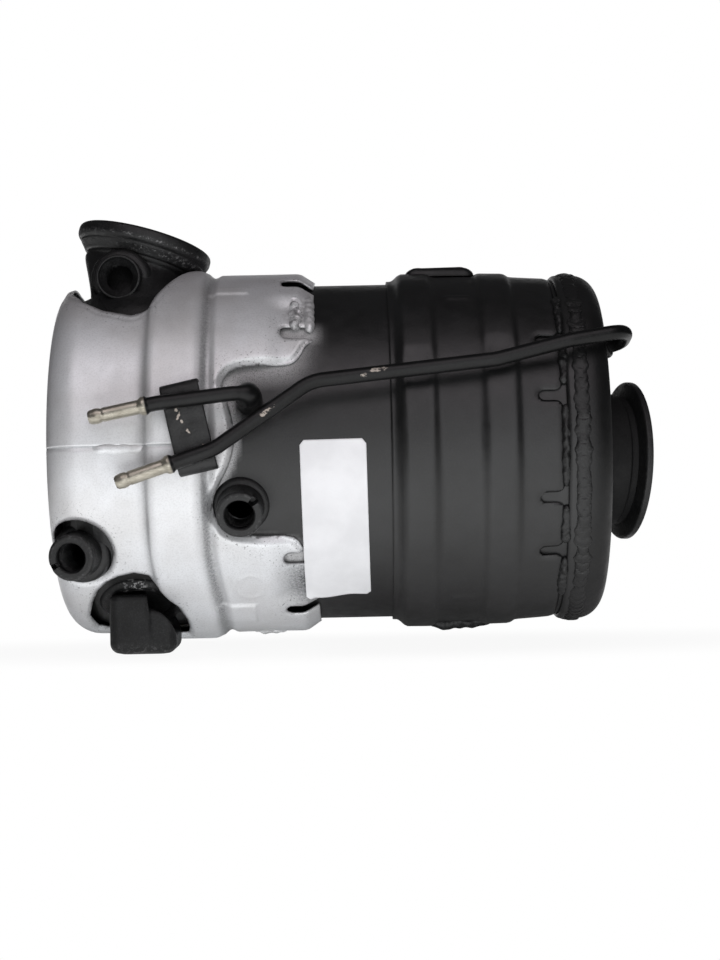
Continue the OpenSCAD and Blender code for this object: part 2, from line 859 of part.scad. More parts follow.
inlet_flange();
inlet_elbow();
inlet_sensor_boss();
inlet_dome();
main_can();
catalyst_brick();
catalyst_mat();
filter_brick();
filter_mat();
end_ring();
end_weld();
outlet_cone();
outlet_neck();
outlet_flange();
inlet_shield_upper();
inlet_shield_lower();
inlet_shield_rear();
inlet_insulation();
filter_shield_front();
filter_shield_rear();
filter_insulation();
front_sensor_boss();
middle_sensor_boss();
front_pressure_pipe();
rear_pressure_pipe();
front_pipe_ferrule();
rear_pipe_ferrule();
pipe_bracket();
support_lug();
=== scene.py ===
"""Diesel particulate filter: the looks of the part, in the frame of its CAD model.

Lengths are millimetres in the can frame: X along the can to the outlet, Y to the rear, Z up, with the can
axis at Y = Z = 0. Angles round the can count upwards from the front. Each mesh is moved to the row frame, in
metres, when it is made.
"""

import math
from collections import namedtuple

import bmesh
import bpy
import numpy as np
from mathutils import Matrix, Vector, noise


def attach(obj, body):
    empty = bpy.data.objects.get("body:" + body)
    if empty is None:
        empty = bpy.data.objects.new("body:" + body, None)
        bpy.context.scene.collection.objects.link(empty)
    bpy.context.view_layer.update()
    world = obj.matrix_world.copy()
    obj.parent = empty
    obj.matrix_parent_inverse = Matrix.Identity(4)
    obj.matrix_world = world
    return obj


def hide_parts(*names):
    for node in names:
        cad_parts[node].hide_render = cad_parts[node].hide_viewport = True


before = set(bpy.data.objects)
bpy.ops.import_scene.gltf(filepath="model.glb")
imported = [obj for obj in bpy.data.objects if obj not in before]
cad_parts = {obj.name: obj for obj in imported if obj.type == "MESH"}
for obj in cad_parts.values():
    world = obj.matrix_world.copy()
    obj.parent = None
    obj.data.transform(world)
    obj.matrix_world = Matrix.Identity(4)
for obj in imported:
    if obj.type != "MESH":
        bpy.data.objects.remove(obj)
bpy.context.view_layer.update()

# Frame
MM = 0.001
OUTLET_FACE = np.array([127.0, 3.0, -7.0])
TO_FRONT, UP = np.array([0.0, -1.0, 0.0]), np.array([0.0, 0.0, 1.0])
QUARTER, FULL = math.pi / 2, 2.0 * math.pi

# Can and outlet
CAN_R, CAN_LEFT, CAN_RIGHT, CAN_SHEET = 78.0, -72.0, 100.0, 1.5
RING_LEFT, RING_RIGHT, RING_R = 90.5, 98.0, 80.5
CONE_RIGHT, CONE_SHOULDER = 114.5, 11.0
OUTLET_TURN, OUTLET_DIP = 11.0, 2.6
OUTLET_BORE_R, OUTLET_NECK_R, OUTLET_RIM_R = 28.0, 30.0, 37.0

# Inlet
INLET_FACE = np.array([-98.6, 0.0, 100.4])
INLET_LEAN, INLET_TIP = 15.2, 7.0
INLET_BORE_R, INLET_NECK_R, INLET_RIM_R, ELBOW_WALL = 23.0, 26.0, 31.7, 3.0
FOOT_X, FOOT_R, FOOT_SPREAD, FOOT_Z = -104.0, 28.0, 30.0, 48.0

# Bosses
BOSS_R, THREAD_R, THREAD_PITCH, THREAD_DEEP = 10.2, 6.2, 1.5, 0.75
NOTCH_DEEP, NOTCH_HALF = 4.4, 0.12
MIDDLE_BOSS_X, MIDDLE_BOSS_DROP, MIDDLE_BOSS_FACE_R = -52.0, 17.5, 92.0
FRONT_BOSS_FACE = np.array([-125.8, -80.3, -44.7])
FRONT_BOSS_AXIS = np.array([-0.1727, -0.9794, -0.1045])
INLET_BOSS_FACE = np.array([-107.4, -40.5, 80.6])

# Pipes
PIPE_R, PIPE_BORE_R, PIPE_BEND, NIPPLE_LEN = 3.1, 1.8, 22.0, 24.0
FRONT_ROUTE = [(-115, -93.5, 15.3), (-86, -93, 21), (-47.2, -90.5, 25.3), (-47.2, -73.7, 20.6)]
REAR_ROUTE = [
    (-104, -93.5, -12.6), (-62, -93, 1), (-20.4, -86, 29.4), (60, -80.5, 37.5),
    (92.5, -76, 45.4), (118.3, -70, 49.6), (118, -51, 45.5), (108, -46.5, 43),
]

# Shields
SHEET = 1.0
SEAM_Z = 3.5
SHIELD_LEFT, SHIELD_RIGHT = -137.0, -19.0


# Vectors and noise

def unit(v):
    v = np.asarray(v, dtype=float)
    return v / np.linalg.norm(v)


def smooth(x, low, high):
    """0 below low, 1 above high, a smooth step between."""
    t = np.clip((np.asarray(x, dtype=float) - low) / (high - low), 0.0, 1.0)
    return t * t * (3.0 - 2.0 * t)


def bump_at(x, middle, half):
    """A smooth hump of height 1 at middle that ends half away from it."""
    t = np.clip(np.abs(np.asarray(x, dtype=float) - middle) / half, 0.0, 1.0)
    return (1.0 - t * t) ** 2


def grain(points, size, shift=0.0):
    """Smooth noise from -1 to 1 at each point, with lumps of the given size."""
    scaled = np.asarray(points, dtype=float) / size + shift
    return np.array([noise.noise(Vector(p)) for p in scaled.reshape(-1, 3)]).reshape(scaled.shape[:-1])


def wrapped(angle, full=FULL):
    """The angle brought to within half a turn of zero."""
    return np.mod(angle + full / 2, full) - full / 2


def turn(axis, degrees):
    return np.array(Matrix.Rotation(math.radians(degrees), 3, axis))


def facing(direction):
    """Rotation whose third column is the direction and whose second column is near up."""
    third = unit(direction)
    first = unit(np.cross(UP, third))
    return np.column_stack([first, np.cross(third, first), third])


def axis_distance(away, axis):
    """How far points lie along an axis and off it, by their places from its start."""
    along = away @ axis
    return along, np.linalg.norm(away - along[..., None] * axis, axis=-1)


# Lines and profiles

def line_length(line):
    """Distance along a line of points at each of them."""
    steps = np.linalg.norm(np.diff(np.asarray(line, dtype=float), axis=0), axis=1)
    return np.concatenate([[0.0], np.cumsum(steps)])


def tangents(line):
    tangent = np.gradient(line, axis=0)
    return tangent / np.linalg.norm(tangent, axis=1)[:, None]


def bend_points(first, corner, last, steps):
    """Points of a soft bend from first to last that is pulled towards the corner."""
    return [
        (1 - t) ** 2 * first + 2 * t * (1 - t) * corner + t * t * last
        for t in np.arange(steps + 1) / steps
    ]


def rounded(profile, radius, steps=5):
    """A closed profile of (a, r) points with each corner rounded by up to the radius."""
    profile = [np.array(p, dtype=float) for p in profile]
    result = []
    for before, here, after in zip(profile[-1:] + profile[:-1], profile, profile[1:] + profile[:1]):
        reach_in = min(radius, 0.45 * np.linalg.norm(here - before))
        reach_out = min(radius, 0.45 * np.linalg.norm(after - here))
        first = here + unit(before - here) * reach_in
        last = here + unit(after - here) * reach_out
        result += bend_points(first, here, last, steps)
    return result


def refined(profile, longest):
    """The closed profile with points added so that no side is longer than the given length."""
    profile = [np.array(p, dtype=float) for p in profile]
    result = []
    for here, after in zip(profile, profile[1:] + profile[:1]):
        cuts = max(1, int(math.ceil(np.linalg.norm(after - here) / longest)))
        result.extend(here + (after - here) * s / cuts for s in range(cuts))
    return result


def arc(x, r, radius, first, last, steps=10):
    """Points of a bend about (x, r), by angle in degrees."""
    angle = np.radians(np.linspace(first, last, steps + 1))
    return [(x + radius * math.cos(t), r + radius * math.sin(t)) for t in angle]


def rounded_rectangle(wide, tall, radius, steps=5):
    """Corner-rounded loop of (a, b) points about the middle."""
    loop = []
    for a, b, start in ((1, 1, 0.0), (-1, 1, 90.0), (-1, -1, 180.0), (1, -1, 270.0)):
        loop += arc(a * (wide / 2 - radius), b * (tall / 2 - radius), radius, start, start + 90.0, steps)
    return np.array(loop)


def cut_corners(corners, times, share=0.25):
    """An open line with its corners cut off again and again, which rounds them."""
    for _ in range(times):
        result = [corners[0]]
        for first, second in zip(corners[:-1], corners[1:]):
            first, second = np.asarray(first, dtype=float), np.asarray(second, dtype=float)
            result.append(first + (second - first) * share)
            result.append(second + (first - second) * share)
        result.append(corners[-1])
        corners = result
    return corners


# Meshes

# A material and the slot of the record that it fills
Coat = namedtuple("Coat", "material slot")


def piece(name, points, faces, coat, stands_for=True, closed=True, numbers=None, smooth_angle=35.0):
    """A mesh from can-frame points that rides on the root.

    It replaces the node of its own name where it stands for one. numbers are kept at each vertex for the
    material, by name.
    """
    mesh = bpy.data.meshes.new(name)
    mesh.from_pydata(((np.asarray(points) - OUTLET_FACE) * MM).tolist(), [], faces)
    for key, values in (numbers or {}).items():
        mesh.attributes.new(key, "FLOAT", "POINT").data.foreach_set("value", np.asarray(values, dtype=float))
    bm = bmesh.new()
    bm.from_mesh(mesh)
    bmesh.ops.remove_doubles(bm, verts=bm.verts, dist=1e-6)
    if closed:
        bmesh.ops.recalc_face_normals(bm, faces=bm.faces)
    bm.to_mesh(mesh)
    bm.free()
    mesh.shade_smooth()
    mesh.set_sharp_from_angle(angle=math.radians(smooth_angle))
    mesh.materials.append(coat.material)
    obj = bpy.data.objects.new(name, mesh)
    bpy.context.collection.objects.link(obj)
    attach(obj, "root")
    if stands_for:
        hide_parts(name)
    return obj


def sheet_piece(name, points, faces, coat, thickness, offset=-1.0, stands_for=True, numbers=None):
    """A piece from the used points of an open grid, thickened inwards, or outwards with an offset of 1."""
    used = np.unique(np.concatenate([np.array(face) for face in faces]))
    index = np.zeros(len(points), dtype=int)
    index[used] = np.arange(len(used))
    faces = [tuple(int(index[i]) for i in face) for face in faces]
    numbers = {key: value[used] for key, value in (numbers or {}).items()}
    obj = piece(name, points[used], faces, coat, stands_for, closed=False, numbers=numbers)
    solid = obj.modifiers.new("thickness", "SOLIDIFY")
    solid.thickness = thickness * MM
    solid.offset = offset


def tube_faces(rows, sides, closed=False):
    """Quads between rings of points kept ring by ring; closed joins the last ring to the first."""
    faces = []
    for i in range(rows if closed else rows - 1):
        here, above = i * sides, (i + 1) % rows * sides
        for j in range(sides):
            k = (j + 1) % sides
            faces.append((here + j, here + k, above + k, above + j))
    return faces


def capped(rings):
    """Points and faces of a stack of rings with both ends closed."""
    count, sides = rings.shape[:2]
    faces = tube_faces(count, sides)
    faces.append(tuple(range(sides - 1, -1, -1)))
    faces.append(tuple((count - 1) * sides + j for j in range(sides)))
    return rings.reshape(-1, 3), faces


def outward(angle):
    """Directions away from a turning axis."""
    return np.stack([np.cos(angle), np.sin(angle), 0 * angle], axis=-1)


def lathe(profile, place, rotation, steps, change=None):
    """Points and faces of a closed profile of (distance along the axis, radius) turned about the axis.

    change(points, along, radius, angle) may move the local points before they are placed.
    """
    outline = np.array(profile)
    angle = np.linspace(0.0, FULL, steps, endpoint=False)
    along = np.repeat(outline[:, :1], steps, axis=1)
    radius = np.repeat(outline[:, 1:], steps, axis=1)
    turned_by = np.repeat(angle[None, :], len(outline), axis=0)
    local = np.stack([radius * np.cos(turned_by), radius * np.sin(turned_by), along], axis=-1)
    if change is not None:
        local = change(local, along, radius, turned_by)
    points = local.reshape(-1, 3) @ np.asarray(rotation).T + np.asarray(place)
    return points, tube_faces(len(outline), steps, closed=True)


def turned(name, coat, profile, place, rotation, steps, change=None):
    """A piece that is turned on a lathe."""
    points, faces = lathe(profile, place, rotation, steps, change)
    piece(name, points, faces, coat)


def swept(line, radius, sides=28):
    """Rings of a round tube along a line; the radius is given at each point of the line."""
    tangent = tangents(line)
    side = unit(np.cross(tangent[0], UP))
    theta = np.linspace(0.0, FULL, sides, endpoint=False)
    rings = []
    for point, along, r in zip(line, tangent, radius):
        side = unit(side - along * (side @ along))
        other = np.cross(along, side)
        rings.append(point + r * (np.cos(theta)[:, None] * side + np.sin(theta)[:, None] * other))
    return np.array(rings)


# Materials

# Places of the colour sockets of a mix node, which has others for numbers and vectors
COLOR_FROM, COLOR_TO, COLOR_RESULT = 6, 7, 2


class Paint:
    """One material built from shader nodes on the object's own coordinates."""

    def __init__(self, name):
        self.material = bpy.data.materials.new(name)
        self.material.use_nodes = True
        self.tree = self.material.node_tree
        self.tree.nodes.clear()
        self.place = self.add("ShaderNodeTexCoord").outputs["Object"]

    def put(self, socket, value):
        """Links a node's output to the socket or sets a plain value on it."""
        if isinstance(value, bpy.types.NodeSocket):
            self.tree.links.new(value, socket)
        else:
            socket.default_value = value

    def add(self, kind, **sockets):
        """A node with some of its sockets filled, named with underscores for spaces."""
        node = self.tree.nodes.new(kind)
        for name, value in sockets.items():
            self.put(node.inputs[name.replace("_", " ")], value)
        return node

    def stretched(self, scale):
        """The object's coordinates, each times its own scale."""
        return self.add("ShaderNodeMapping", Vector=self.place, Scale=scale).outputs["Vector"]

    def noise(self, size, detail=3.0, roughness=0.55, stretch=None):
        """Noise from 0 to 1 with lumps of about the given size in millimetres."""
        place = self.stretched(stretch) if stretch else self.place
        scale = 1.0 / (size * MM)
        node = self.add("ShaderNodeTexNoise", Vector=place, Scale=scale, Detail=detail, Roughness=roughness)
        return node.outputs["Fac"]

    def cells(self, size):
        """Distance to the nearest of many points that lie about the given size apart."""
        node = self.add("ShaderNodeTexVoronoi", Vector=self.place, Scale=1.0 / (size * MM))
        return node.outputs["Distance"]

    def mask(self, value, low, high, start=0.0, end=1.0):
        """A smooth step from start at low to end at high."""
        node = self.add(
            "ShaderNodeMapRange", Value=value, From_Min=low, From_Max=high, To_Min=start, To_Max=end,
        )
        node.interpolation_type = "SMOOTHSTEP"
        return node.outputs["Result"]

    def patches(self, size, detail, low, high, start=0.0, end=1.0, roughness=0.55):
        """Noise turned into soft patches: start where it is below low, end where it is above high."""
        return self.mask(self.noise(size, detail, roughness), low, high, start, end)

    def combined(self, operation, first, second):
        """Two numbers put together by an operation such as ADD."""
        node = self.add("ShaderNodeMath")
        node.operation = operation
        self.put(node.inputs[0], first)
        self.put(node.inputs[1], second)
        return node.outputs["Value"]

    def times(self, first, second):
        return self.combined("MULTIPLY", first, second)

    def blend(self, factor, first, second):
        """Colour that goes from first to second with the factor."""
        node = self.add("ShaderNodeMix", Factor=factor)
        node.data_type = "RGBA"
        self.put(node.inputs[COLOR_FROM], first)
        self.put(node.inputs[COLOR_TO], second)
        return node.outputs[COLOR_RESULT]

    def mixed(self, factor, first, second):
        """Shader that goes from first to second with the factor."""
        node = self.add("ShaderNodeMixShader", Fac=factor)
        self.put(node.inputs[1], first)
        self.put(node.inputs[2], second)
        return node.outputs["Shader"]

    def attribute(self, name):
        """A number kept on the mesh at each vertex."""
        node = self.add("ShaderNodeAttribute")
        node.attribute_name = name
        return node.outputs["Fac"]

    def bump(self, height, strength, depth, **below):
        """Normal of a bumpy skin, which may lie on another one that is given as Normal."""
        node = self.add("ShaderNodeBump", Height=height, Strength=strength, Distance=depth * MM, **below)
        return node.outputs["Normal"]

    def surface(self, shader):
        self.add("ShaderNodeOutputMaterial", Surface=shader)

    def coat(self, slot, **sockets):
        """The finished material with its shader's sockets filled, for a slot of the record."""
        self.surface(self.add("ShaderNodeBsdfPrincipled", **sockets).outputs["BSDF"])
        return Coat(self.material, slot)


def grey(level, warm=0.0):
    """Linear colour of a grey written as an 8-bit screen level, warmer or colder by a share."""
    linear = ((level / 255.0 + 0.055) / 1.055) ** 2.4 if level > 10 else level / 255.0 / 12.92
    return (linear * (1.0 + warm), linear, linear * (1.0 - warm), 1.0)


# Colour of the painted shade in step grooves and along turned edges, and of a dark smudge
SHADE_AND_SMUDGE_GREY = grey(62, -0.04)
OVERSPRAY = grey(182)
BARE_SPOT = grey(152, 0.13)
STRAW_DARK = (0.13, 0.112, 0.08, 1.0)
STRAW_LIGHT = (0.60, 0.57, 0.49, 1.0)


def silver_paint():
    """Aluminium paint with a fine grain, dark specks and worn spots near cut edges, painted shade in the step
    grooves and along the turned edges, and a dark smudge.
    """
    paint = Paint("silver_paint")
    edge = paint.attribute("edge")
    color = paint.blend(paint.patches(38.0, 3.0, 0.3, 0.7), grey(199), grey(216, -0.02))
    color = paint.blend(paint.patches(0.7, 2.0, 0.4, 0.75, 0.0, 0.32), color, grey(168))
    near_edge = paint.mask(edge, 0.5, 12.0, 0.8, 0.03)
    specks = paint.times(paint.patches(1.1, 2.0, 0.62, 0.68, roughness=0.7), near_edge)
    color = paint.blend(specks, color, grey(64))
    on_edge = paint.mask(edge, 0.3, 1.2, 0.5, 0.0)
    worn = paint.times(paint.patches(6.0, 4.0, 0.4, 0.6, roughness=0.7), on_edge)
    color = paint.blend(worn, color, grey(58))
    scorched = paint.times(paint.patches(3.0, 4.0, 0.42, 0.62, roughness=0.7), paint.attribute("weld"))
    color = paint.blend(scorched, color, grey(62))
    # Painted shade in the step grooves and along the turned edges, and a dark smudge, from the mesh
    shade_and_smudge_share = paint.times(paint.patches(0.9, 3.0, 0.3, 0.7, 0.55, 1.0, roughness=0.65), paint.attribute("soot"))
    color = paint.blend(shade_and_smudge_share, color, SHADE_AND_SMUDGE_GREY)
    rough = paint.patches(5.0, 3.0, 0.2, 0.8, 0.36, 0.48)
    fine = paint.bump(paint.noise(1.0, 3.0, 0.65), 0.16, 0.25)
    normal = paint.bump(paint.noise(24.0, 2.0), 0.25, 1.0, Normal=fine)
    return paint.coat("silver_paint", Base_Color=color, Roughness=rough, Metallic=0.43, Normal=normal)


def black_paint(name="black_paint", level=10, rough=(0.36, 0.46), lumps=0.2, gloss=0.52):
    """Satin black heat paint with a soft mottle; overspray, chips and bare metal come from the mesh."""
    paint = Paint(name)
    bare = paint.attribute("bare")
    color = paint.blend(paint.patches(26.0, 4.0, 0.3, 0.7), grey(level - 4), grey(level + 6, -0.04))
    color = paint.blend(paint.patches(0.9, 2.0, 0.45, 0.8, 0.0, 0.25 + lumps / 2), color, grey(level + 18))
    dust = paint.times(paint.patches(0.45, 3.0, 0.2, 0.58, roughness=0.7), paint.attribute("overspray"))
    color = paint.blend(dust, color, OVERSPRAY)
    flaky = paint.noise(1.7, 5.0, 0.8, (0.45, 1.0, 1.0))
    worn = paint.combined("ADD", flaky, paint.times(paint.attribute("chip"), 0.35))
    color = paint.blend(paint.mask(worn, 0.82, 0.9), color, BARE_SPOT)
    steel = paint.blend(paint.noise(1.4, 3.0, 0.6, (0.25, 1.0, 1.0)), STRAW_DARK, STRAW_LIGHT)
    color = paint.blend(bare, color, steel)
    shine = paint.times(paint.patches(7.0, 3.0, 0.25, 0.75, *rough), paint.mask(bare, 0.0, 1.0, 1.0, 0.9))
    metal = paint.mask(bare, 0.0, 1.0, 0.0, 0.85)
    fine = paint.bump(paint.noise(1.2, 3.0, 0.6), lumps, 0.25)
    normal = paint.bump(paint.noise(18.0, 2.0), 0.2, 0.8, Normal=fine)
    return paint.coat(
        "black_paint",
        Base_Color=color, Roughness=shine, Metallic=metal, Normal=normal, Specular_IOR_Level=gloss,
    )


def dark_casting(name="dark_casting", gloss=0.4):
    """Rough dark cast iron with a sandy skin and a few pale rubs, which on the right of the inlet flange's
    cone are painted light.
    """
    paint = Paint(name)
    color = paint.blend(paint.patches(9.0, 4.0, 0.3, 0.7), grey(9), grey(15, -0.04))
    color = paint.blend(paint.patches(0.6, 2.0, 0.45, 0.75, 0.0, 0.35), color, grey(46, -0.03))
    # Pale rubs from the mesh, which on the inlet flange's cone stand for painted light
    rubs_and_painted_light = paint.times(paint.patches(1.7, 4.0, 0.52, 0.62, roughness=0.75), paint.attribute("chip"))
    color = paint.blend(rubs_and_painted_light, color, grey(140))
    rough = paint.patches(4.0, 3.0, 0.25, 0.75, 0.36, 0.56)
    sandy = paint.bump(paint.noise(0.9, 4.0, 0.7), 0.6, 0.4)
    normal = paint.bump(paint.noise(7.0, 3.0), 0.25, 0.8, Normal=sandy)
    return paint.coat(
        "dark_casting", Base_Color=color, Roughness=rough, Normal=normal, Specular_IOR_Level=gloss,
    )


def label_paper():
    """Blank white coated paper with faint fibres; the record has no slot of its own for it."""
    paint = Paint("label_paper")
    color = paint.blend(paint.patches(16.0, 3.0, 0.3, 0.7), grey(216, -0.01), grey(226, -0.01))
    color = paint.blend(paint.patches(0.5, 2.0, 0.5, 0.8, 0.0, 0.2), color, grey(205))
    normal = paint.bump(paint.noise(0.6, 3.0), 0.06, 0.1)
    return paint.coat("silver_paint", Base_Color=color, Roughness=0.42, Normal=normal)


def ceramic_brick():
    """Pale ceramic with fine pores."""
    paint = Paint("ceramic_brick")
    color = paint.blend(paint.patches(5.0, 4.0, 0.3, 0.7), grey(150, 0.04), grey(176, 0.03))
    pores = paint.cells(1.5)
    color = paint.blend(paint.mask(pores, 0.2, 0.45), color, grey(92, 0.03))
    return paint.coat("ceramic_brick", Base_Color=color, Roughness=0.85, Normal=paint.bump(pores, 0.5, 0.5))


def fibre_mat():
    """Cream fibre mat with long soft strands."""
    paint = Paint("fibre_mat")
    strands = paint.noise(1.2, 4.0, 0.65, (0.2, 1.0, 1.0))
    color = paint.blend(strands, grey(190, 0.05), grey(228, 0.03))
    return paint.coat("fibre_mat", Base_Color=color, Roughness=0.9, Normal=paint.bump(strands, 0.5, 0.6))


# Pressed sheets

def on_can(x, radius, angle):
    """Points round the can."""
    return np.stack([x, -radius * np.cos(angle), radius * np.sin(angle)], axis=-1)


def radians_of(p):
    """Angle of points round the can."""
    return np.arctan2(p[..., 2], -p[..., 1])


def angle_of(p):
    """Angle of points round the can, in degrees."""
    return np.degrees(radians_of(p))


def snapped(s, a, distance):
    """Grid moved so that the points nearest to the zero line of distance(s, a) lie on it, and its levels."""
    level = distance(s, a)
    best = np.full(s.shape, np.inf)
    new_s, new_a = s.copy(), a.copy()
    for axis in (0, 1):
        for step in (1, -1):
            other = np.roll(level, -step, axis)
            with np.errstate(divide="ignore", invalid="ignore"):
                share = level / (level - other)
            use = (level * other < 0) & (share <= 0.5) & (share < best)
            border = [slice(None), slice(None)]
            border[axis] = -1 if step == 1 else 0
            use[tuple(border)] = False
            share = np.where(use, share, 0.0)
            new_s = np.where(use, s + share * (np.roll(s, -step, axis) - s), new_s)
            new_a = np.where(use, a + share * (np.roll(a, -step, axis) - a), new_a)
            best = np.where(use, share, best)
    return new_s, new_a, np.where(np.isfinite(best), 0.0, level)


def kept_faces(level):
    """Quads and corner triangles of the grid whose points have no negative level."""
    rows, columns = level.shape
    flat = level.reshape(-1)
    faces = []
    for i in range(rows - 1):
        for j in range(columns - 1):
            start = i * columns + j
            corners = [start, start + columns, start + columns + 1, start + 1]
            inside = [c for c in corners if flat[c] >= 0.0]
            if len(inside) >= 3:
                faces.append(tuple(inside))
    return faces


def sheet(name, coat, profile, spacing, angles, keep, shape=None, marks=None, thickness=SHEET):
    """A sheet over a profile of (x, radius) points and angles round the can, with thickness inwards.

    keep(points) is the distance to the nearest cut, negative inside one. shape(points, radius) gives the
    radius after pressing. marks(points) gives named numbers for the material.
    """
    line = np.array(profile)
    length = line_length(line)
    stations = np.arange(0.0, length[-1] + spacing / 2, spacing)
    s, a = np.meshgrid(np.minimum(stations, length[-1]), angles, indexing="ij")

    def at(s_here, a_here):
        return on_can(np.interp(s_here, length, line[:, 0]), np.interp(s_here, length, line[:, 1]), a_here)

    s, a, level = snapped(s, a, lambda s_here, a_here: keep(at(s_here, a_here)))
    flat = at(s, a)
    radius = np.interp(s, length, line[:, 1])
    if shape is not None:
        radius = shape(flat, radius)
    numbers = {"edge": np.maximum(keep(flat), 0.0)}
    if marks is not None:
        numbers.update(marks(flat))
    numbers = {key: value.reshape(-1) for key, value in numbers.items()}
    points = on_can(flat[..., 0], radius, a).reshape(-1, 3)
    sheet_piece(name, points, kept_faces(level), coat, thickness, numbers=numbers)


def pad(p, x, half_x, degrees, half_degrees):
    """A flat-topped raised patch round one place of a sheet, from 0 to 1."""
    beside = 1.0 - smooth(np.abs(p[..., 0] - x), half_x - 0.9, half_x + 0.9)
    round_can = 1.0 - smooth(np.abs(angle_of(p) - degrees), half_degrees - 0.65, half_degrees + 0.65)
    return beside * round_can


# Cuts in the sheets: distances that are negative inside a cut

NO_CUT = 20.0
SLOT_END_R = 2.8


def only_where(side, distance):
    """The distance to a cut on its own side of the can, and no cut on the other."""
    return np.where(side, distance, np.abs(distance) + NO_CUT)


def polygon_distance(x, z, corners):
    """Signed distance to a polygon, negative inside it."""
    corners = np.asarray(corners, dtype=float)
    nearest = np.full(x.shape, np.inf)
    inside = np.zeros(x.shape, dtype=bool)
    for first, second in zip(corners, np.roll(corners, -1, axis=0)):
        side = second - first
        t = np.clip(((x - first[0]) * side[0] + (z - first[1]) * side[1]) / (side @ side), 0.0, 1.0)
        nearest = np.minimum(nearest, np.hypot(x - first[0] - t * side[0], z - first[1] - t * side[1]))
        crosses = (first[1] > z) != (second[1] > z)
        with np.errstate(divide="ignore", invalid="ignore"):
            left = x < first[0] + (z - first[1]) * side[0] / side[1]
        inside ^= crosses & left
    return np.where(inside, -nearest, nearest)


def slot_distance(p, edge, slots, length):
    """Distance to round-ended slots of (degrees, width) that open at an edge and run to the left of it."""
    angle = radians_of(p)
    result = np.full(angle.shape, np.inf)
    for degrees, width in slots:
        end_r = min(width / 2, SLOT_END_R)
        along = np.minimum(p[..., 0] - (edge - length + end_r), 0.0)
        across = np.abs(CAN_R * wrapped(angle - math.radians(degrees)))
        across = np.maximum(across - (width / 2 - end_r), 0.0)
        result = np.minimum(result, np.hypot(along, across) - end_r)
    return result


# Waved recess of the inlet shield, seen from the front: x, z
RECESS = cut_corners([
    (0, 49.6), (-16.3, 49.2), (-22.6, 48.0), (-24.6, 44.3), (-27.2, 41.2), (-30.7, 39.7), (-43.0, 38.9),
    (-51.2, 38.1), (-55.5, 36.4), (-58.4, 33.4), (-59.4, 29.8), (-56.8, 22.3), (-54.4, 13.5), (-53.7, 4.9),
    (-55.6, -4.1), (-59.0, -11.4), (-63.5, -19.5), (-64.4, -26.5), (-61.8, -33.2), (-56.4, -37.2),
    (-47.4, -38.3), (-32.4, -39.4), (-28.3, -40.8), (-26.2, -43.6), (-24.6, -46.3), (-18.2, -47.0),
    (0, -47.0),
], times=2)
# Front half of the opening for the elbow, seen from above: x, y
ELBOW_FRONT = [
    (-131.5, -14), (-130.6, -26), (-128.2, -35), (-123.0, -44.5), (-113.2, -51.0), (-100.3, -54.2),
    (-92.2, -51.5), (-87.2, -40.5), (-81.7, -24.5), (-75.5, -8),
]
ELBOW_HOLE = ELBOW_FRONT + [(x, -y) for x, y in reversed(ELBOW_FRONT)]
# Opening for the lug: x, degrees round the can
LUG_HOLE = [
    (-123.5, -62.5), (-120.9, -54.2), (-117.5, -47.7), (-112.7, -43.7), (-107.6, -41.5), (-100.5, -40.1),
    (-94.2, -41.3), (-90.3, -46.4), (-86.6, -50.2), (-82.6, -53.8), (-79.6, -61.7), (-79.0, -68.6),
    (-80.5, -77), (-92, -79), (-112, -79), (-121, -74),
]
LUG_HOLE_FROM_R = 55.0
FRONT_HOLE_R, FRONT_HOLE_SHIFT = 14.5, np.array([0.6, 0.0, 0.9])
# Relief slots in the right edge: degrees round the can, width
EDGE_SLOTS = ((67.0, 9.0), (40.7, 6.6), (-36.2, 5.6), (-59.3, 6.6))
SLOT_LEN = 15.0


def recess_distance(p):
    """Distance to the waved recess, which is cut through the front only."""
    return only_where(p[..., 1] < -CAN_R / 4, polygon_distance(p[..., 0], p[..., 2], RECESS))


def elbow_distance(p):
    """Distance to the opening for the elbow, on top only."""
    return only_where(p[..., 2] > 0, polygon_distance(p[..., 0], p[..., 1], ELBOW_HOLE))


def front_boss_distance(p):
    """Distance to the round opening for the front boss."""
    _, off = axis_distance(p - FRONT_BOSS_FACE - FRONT_HOLE_SHIFT, FRONT_BOSS_AXIS)
    return only_where(p[..., 1] < 0, off - FRONT_HOLE_R)


def lug_distance(p):
    """Distance to the opening for the lug, which stays clear of the flat end."""
    corners = [(x, CAN_R * math.radians(degrees)) for x, degrees in LUG_HOLE]
    here = polygon_distance(p[..., 0], CAN_R * radians_of(p), corners)
    return only_where(np.hypot(p[..., 1], p[..., 2]) > LUG_HOLE_FROM_R, here)


def opening_distance(p):
    return np.minimum(np.minimum(elbow_distance(p), front_boss_distance(p)), lug_distance(p))


# Inlet heat shield

PLAIN_R, BAND_R, WAVE_R = 83.0, 86.3, 83.7
BAND_LEFT, BAND_RIGHT = -93.0, -69.0
END_CORNER, END_STEPS = 15.0, 14
SHIELD_PROFILE = np.array(
    [(SHIELD_LEFT, 1.0)]
    + arc(SHIELD_LEFT + END_CORNER, PLAIN_R - END_CORNER, END_CORNER, 180.0, 90.0, END_STEPS)
    + arc(BAND_LEFT - 4.0, PLAIN_R + 9.0, 9.0, 270.0, 300.0, 5)
    + arc(BAND_LEFT + 5.0, BAND_R - 8.0, 8.0, 120.0, 90.0, 5)
    + arc(BAND_RIGHT - 5.0, BAND_R - 8.0, 8.0, 90.0, 60.0, 5)
    + arc(BAND_RIGHT + 4.0, WAVE_R + 7.0, 7.0, 240.0, 270.0, 5)
    + arc(SHIELD_RIGHT - 9.0, WAVE_R - 7.0, 7.0, 90.0, 52.0, 6)
    + [(SHIELD_RIGHT, CAN_R + 1.1)]
)
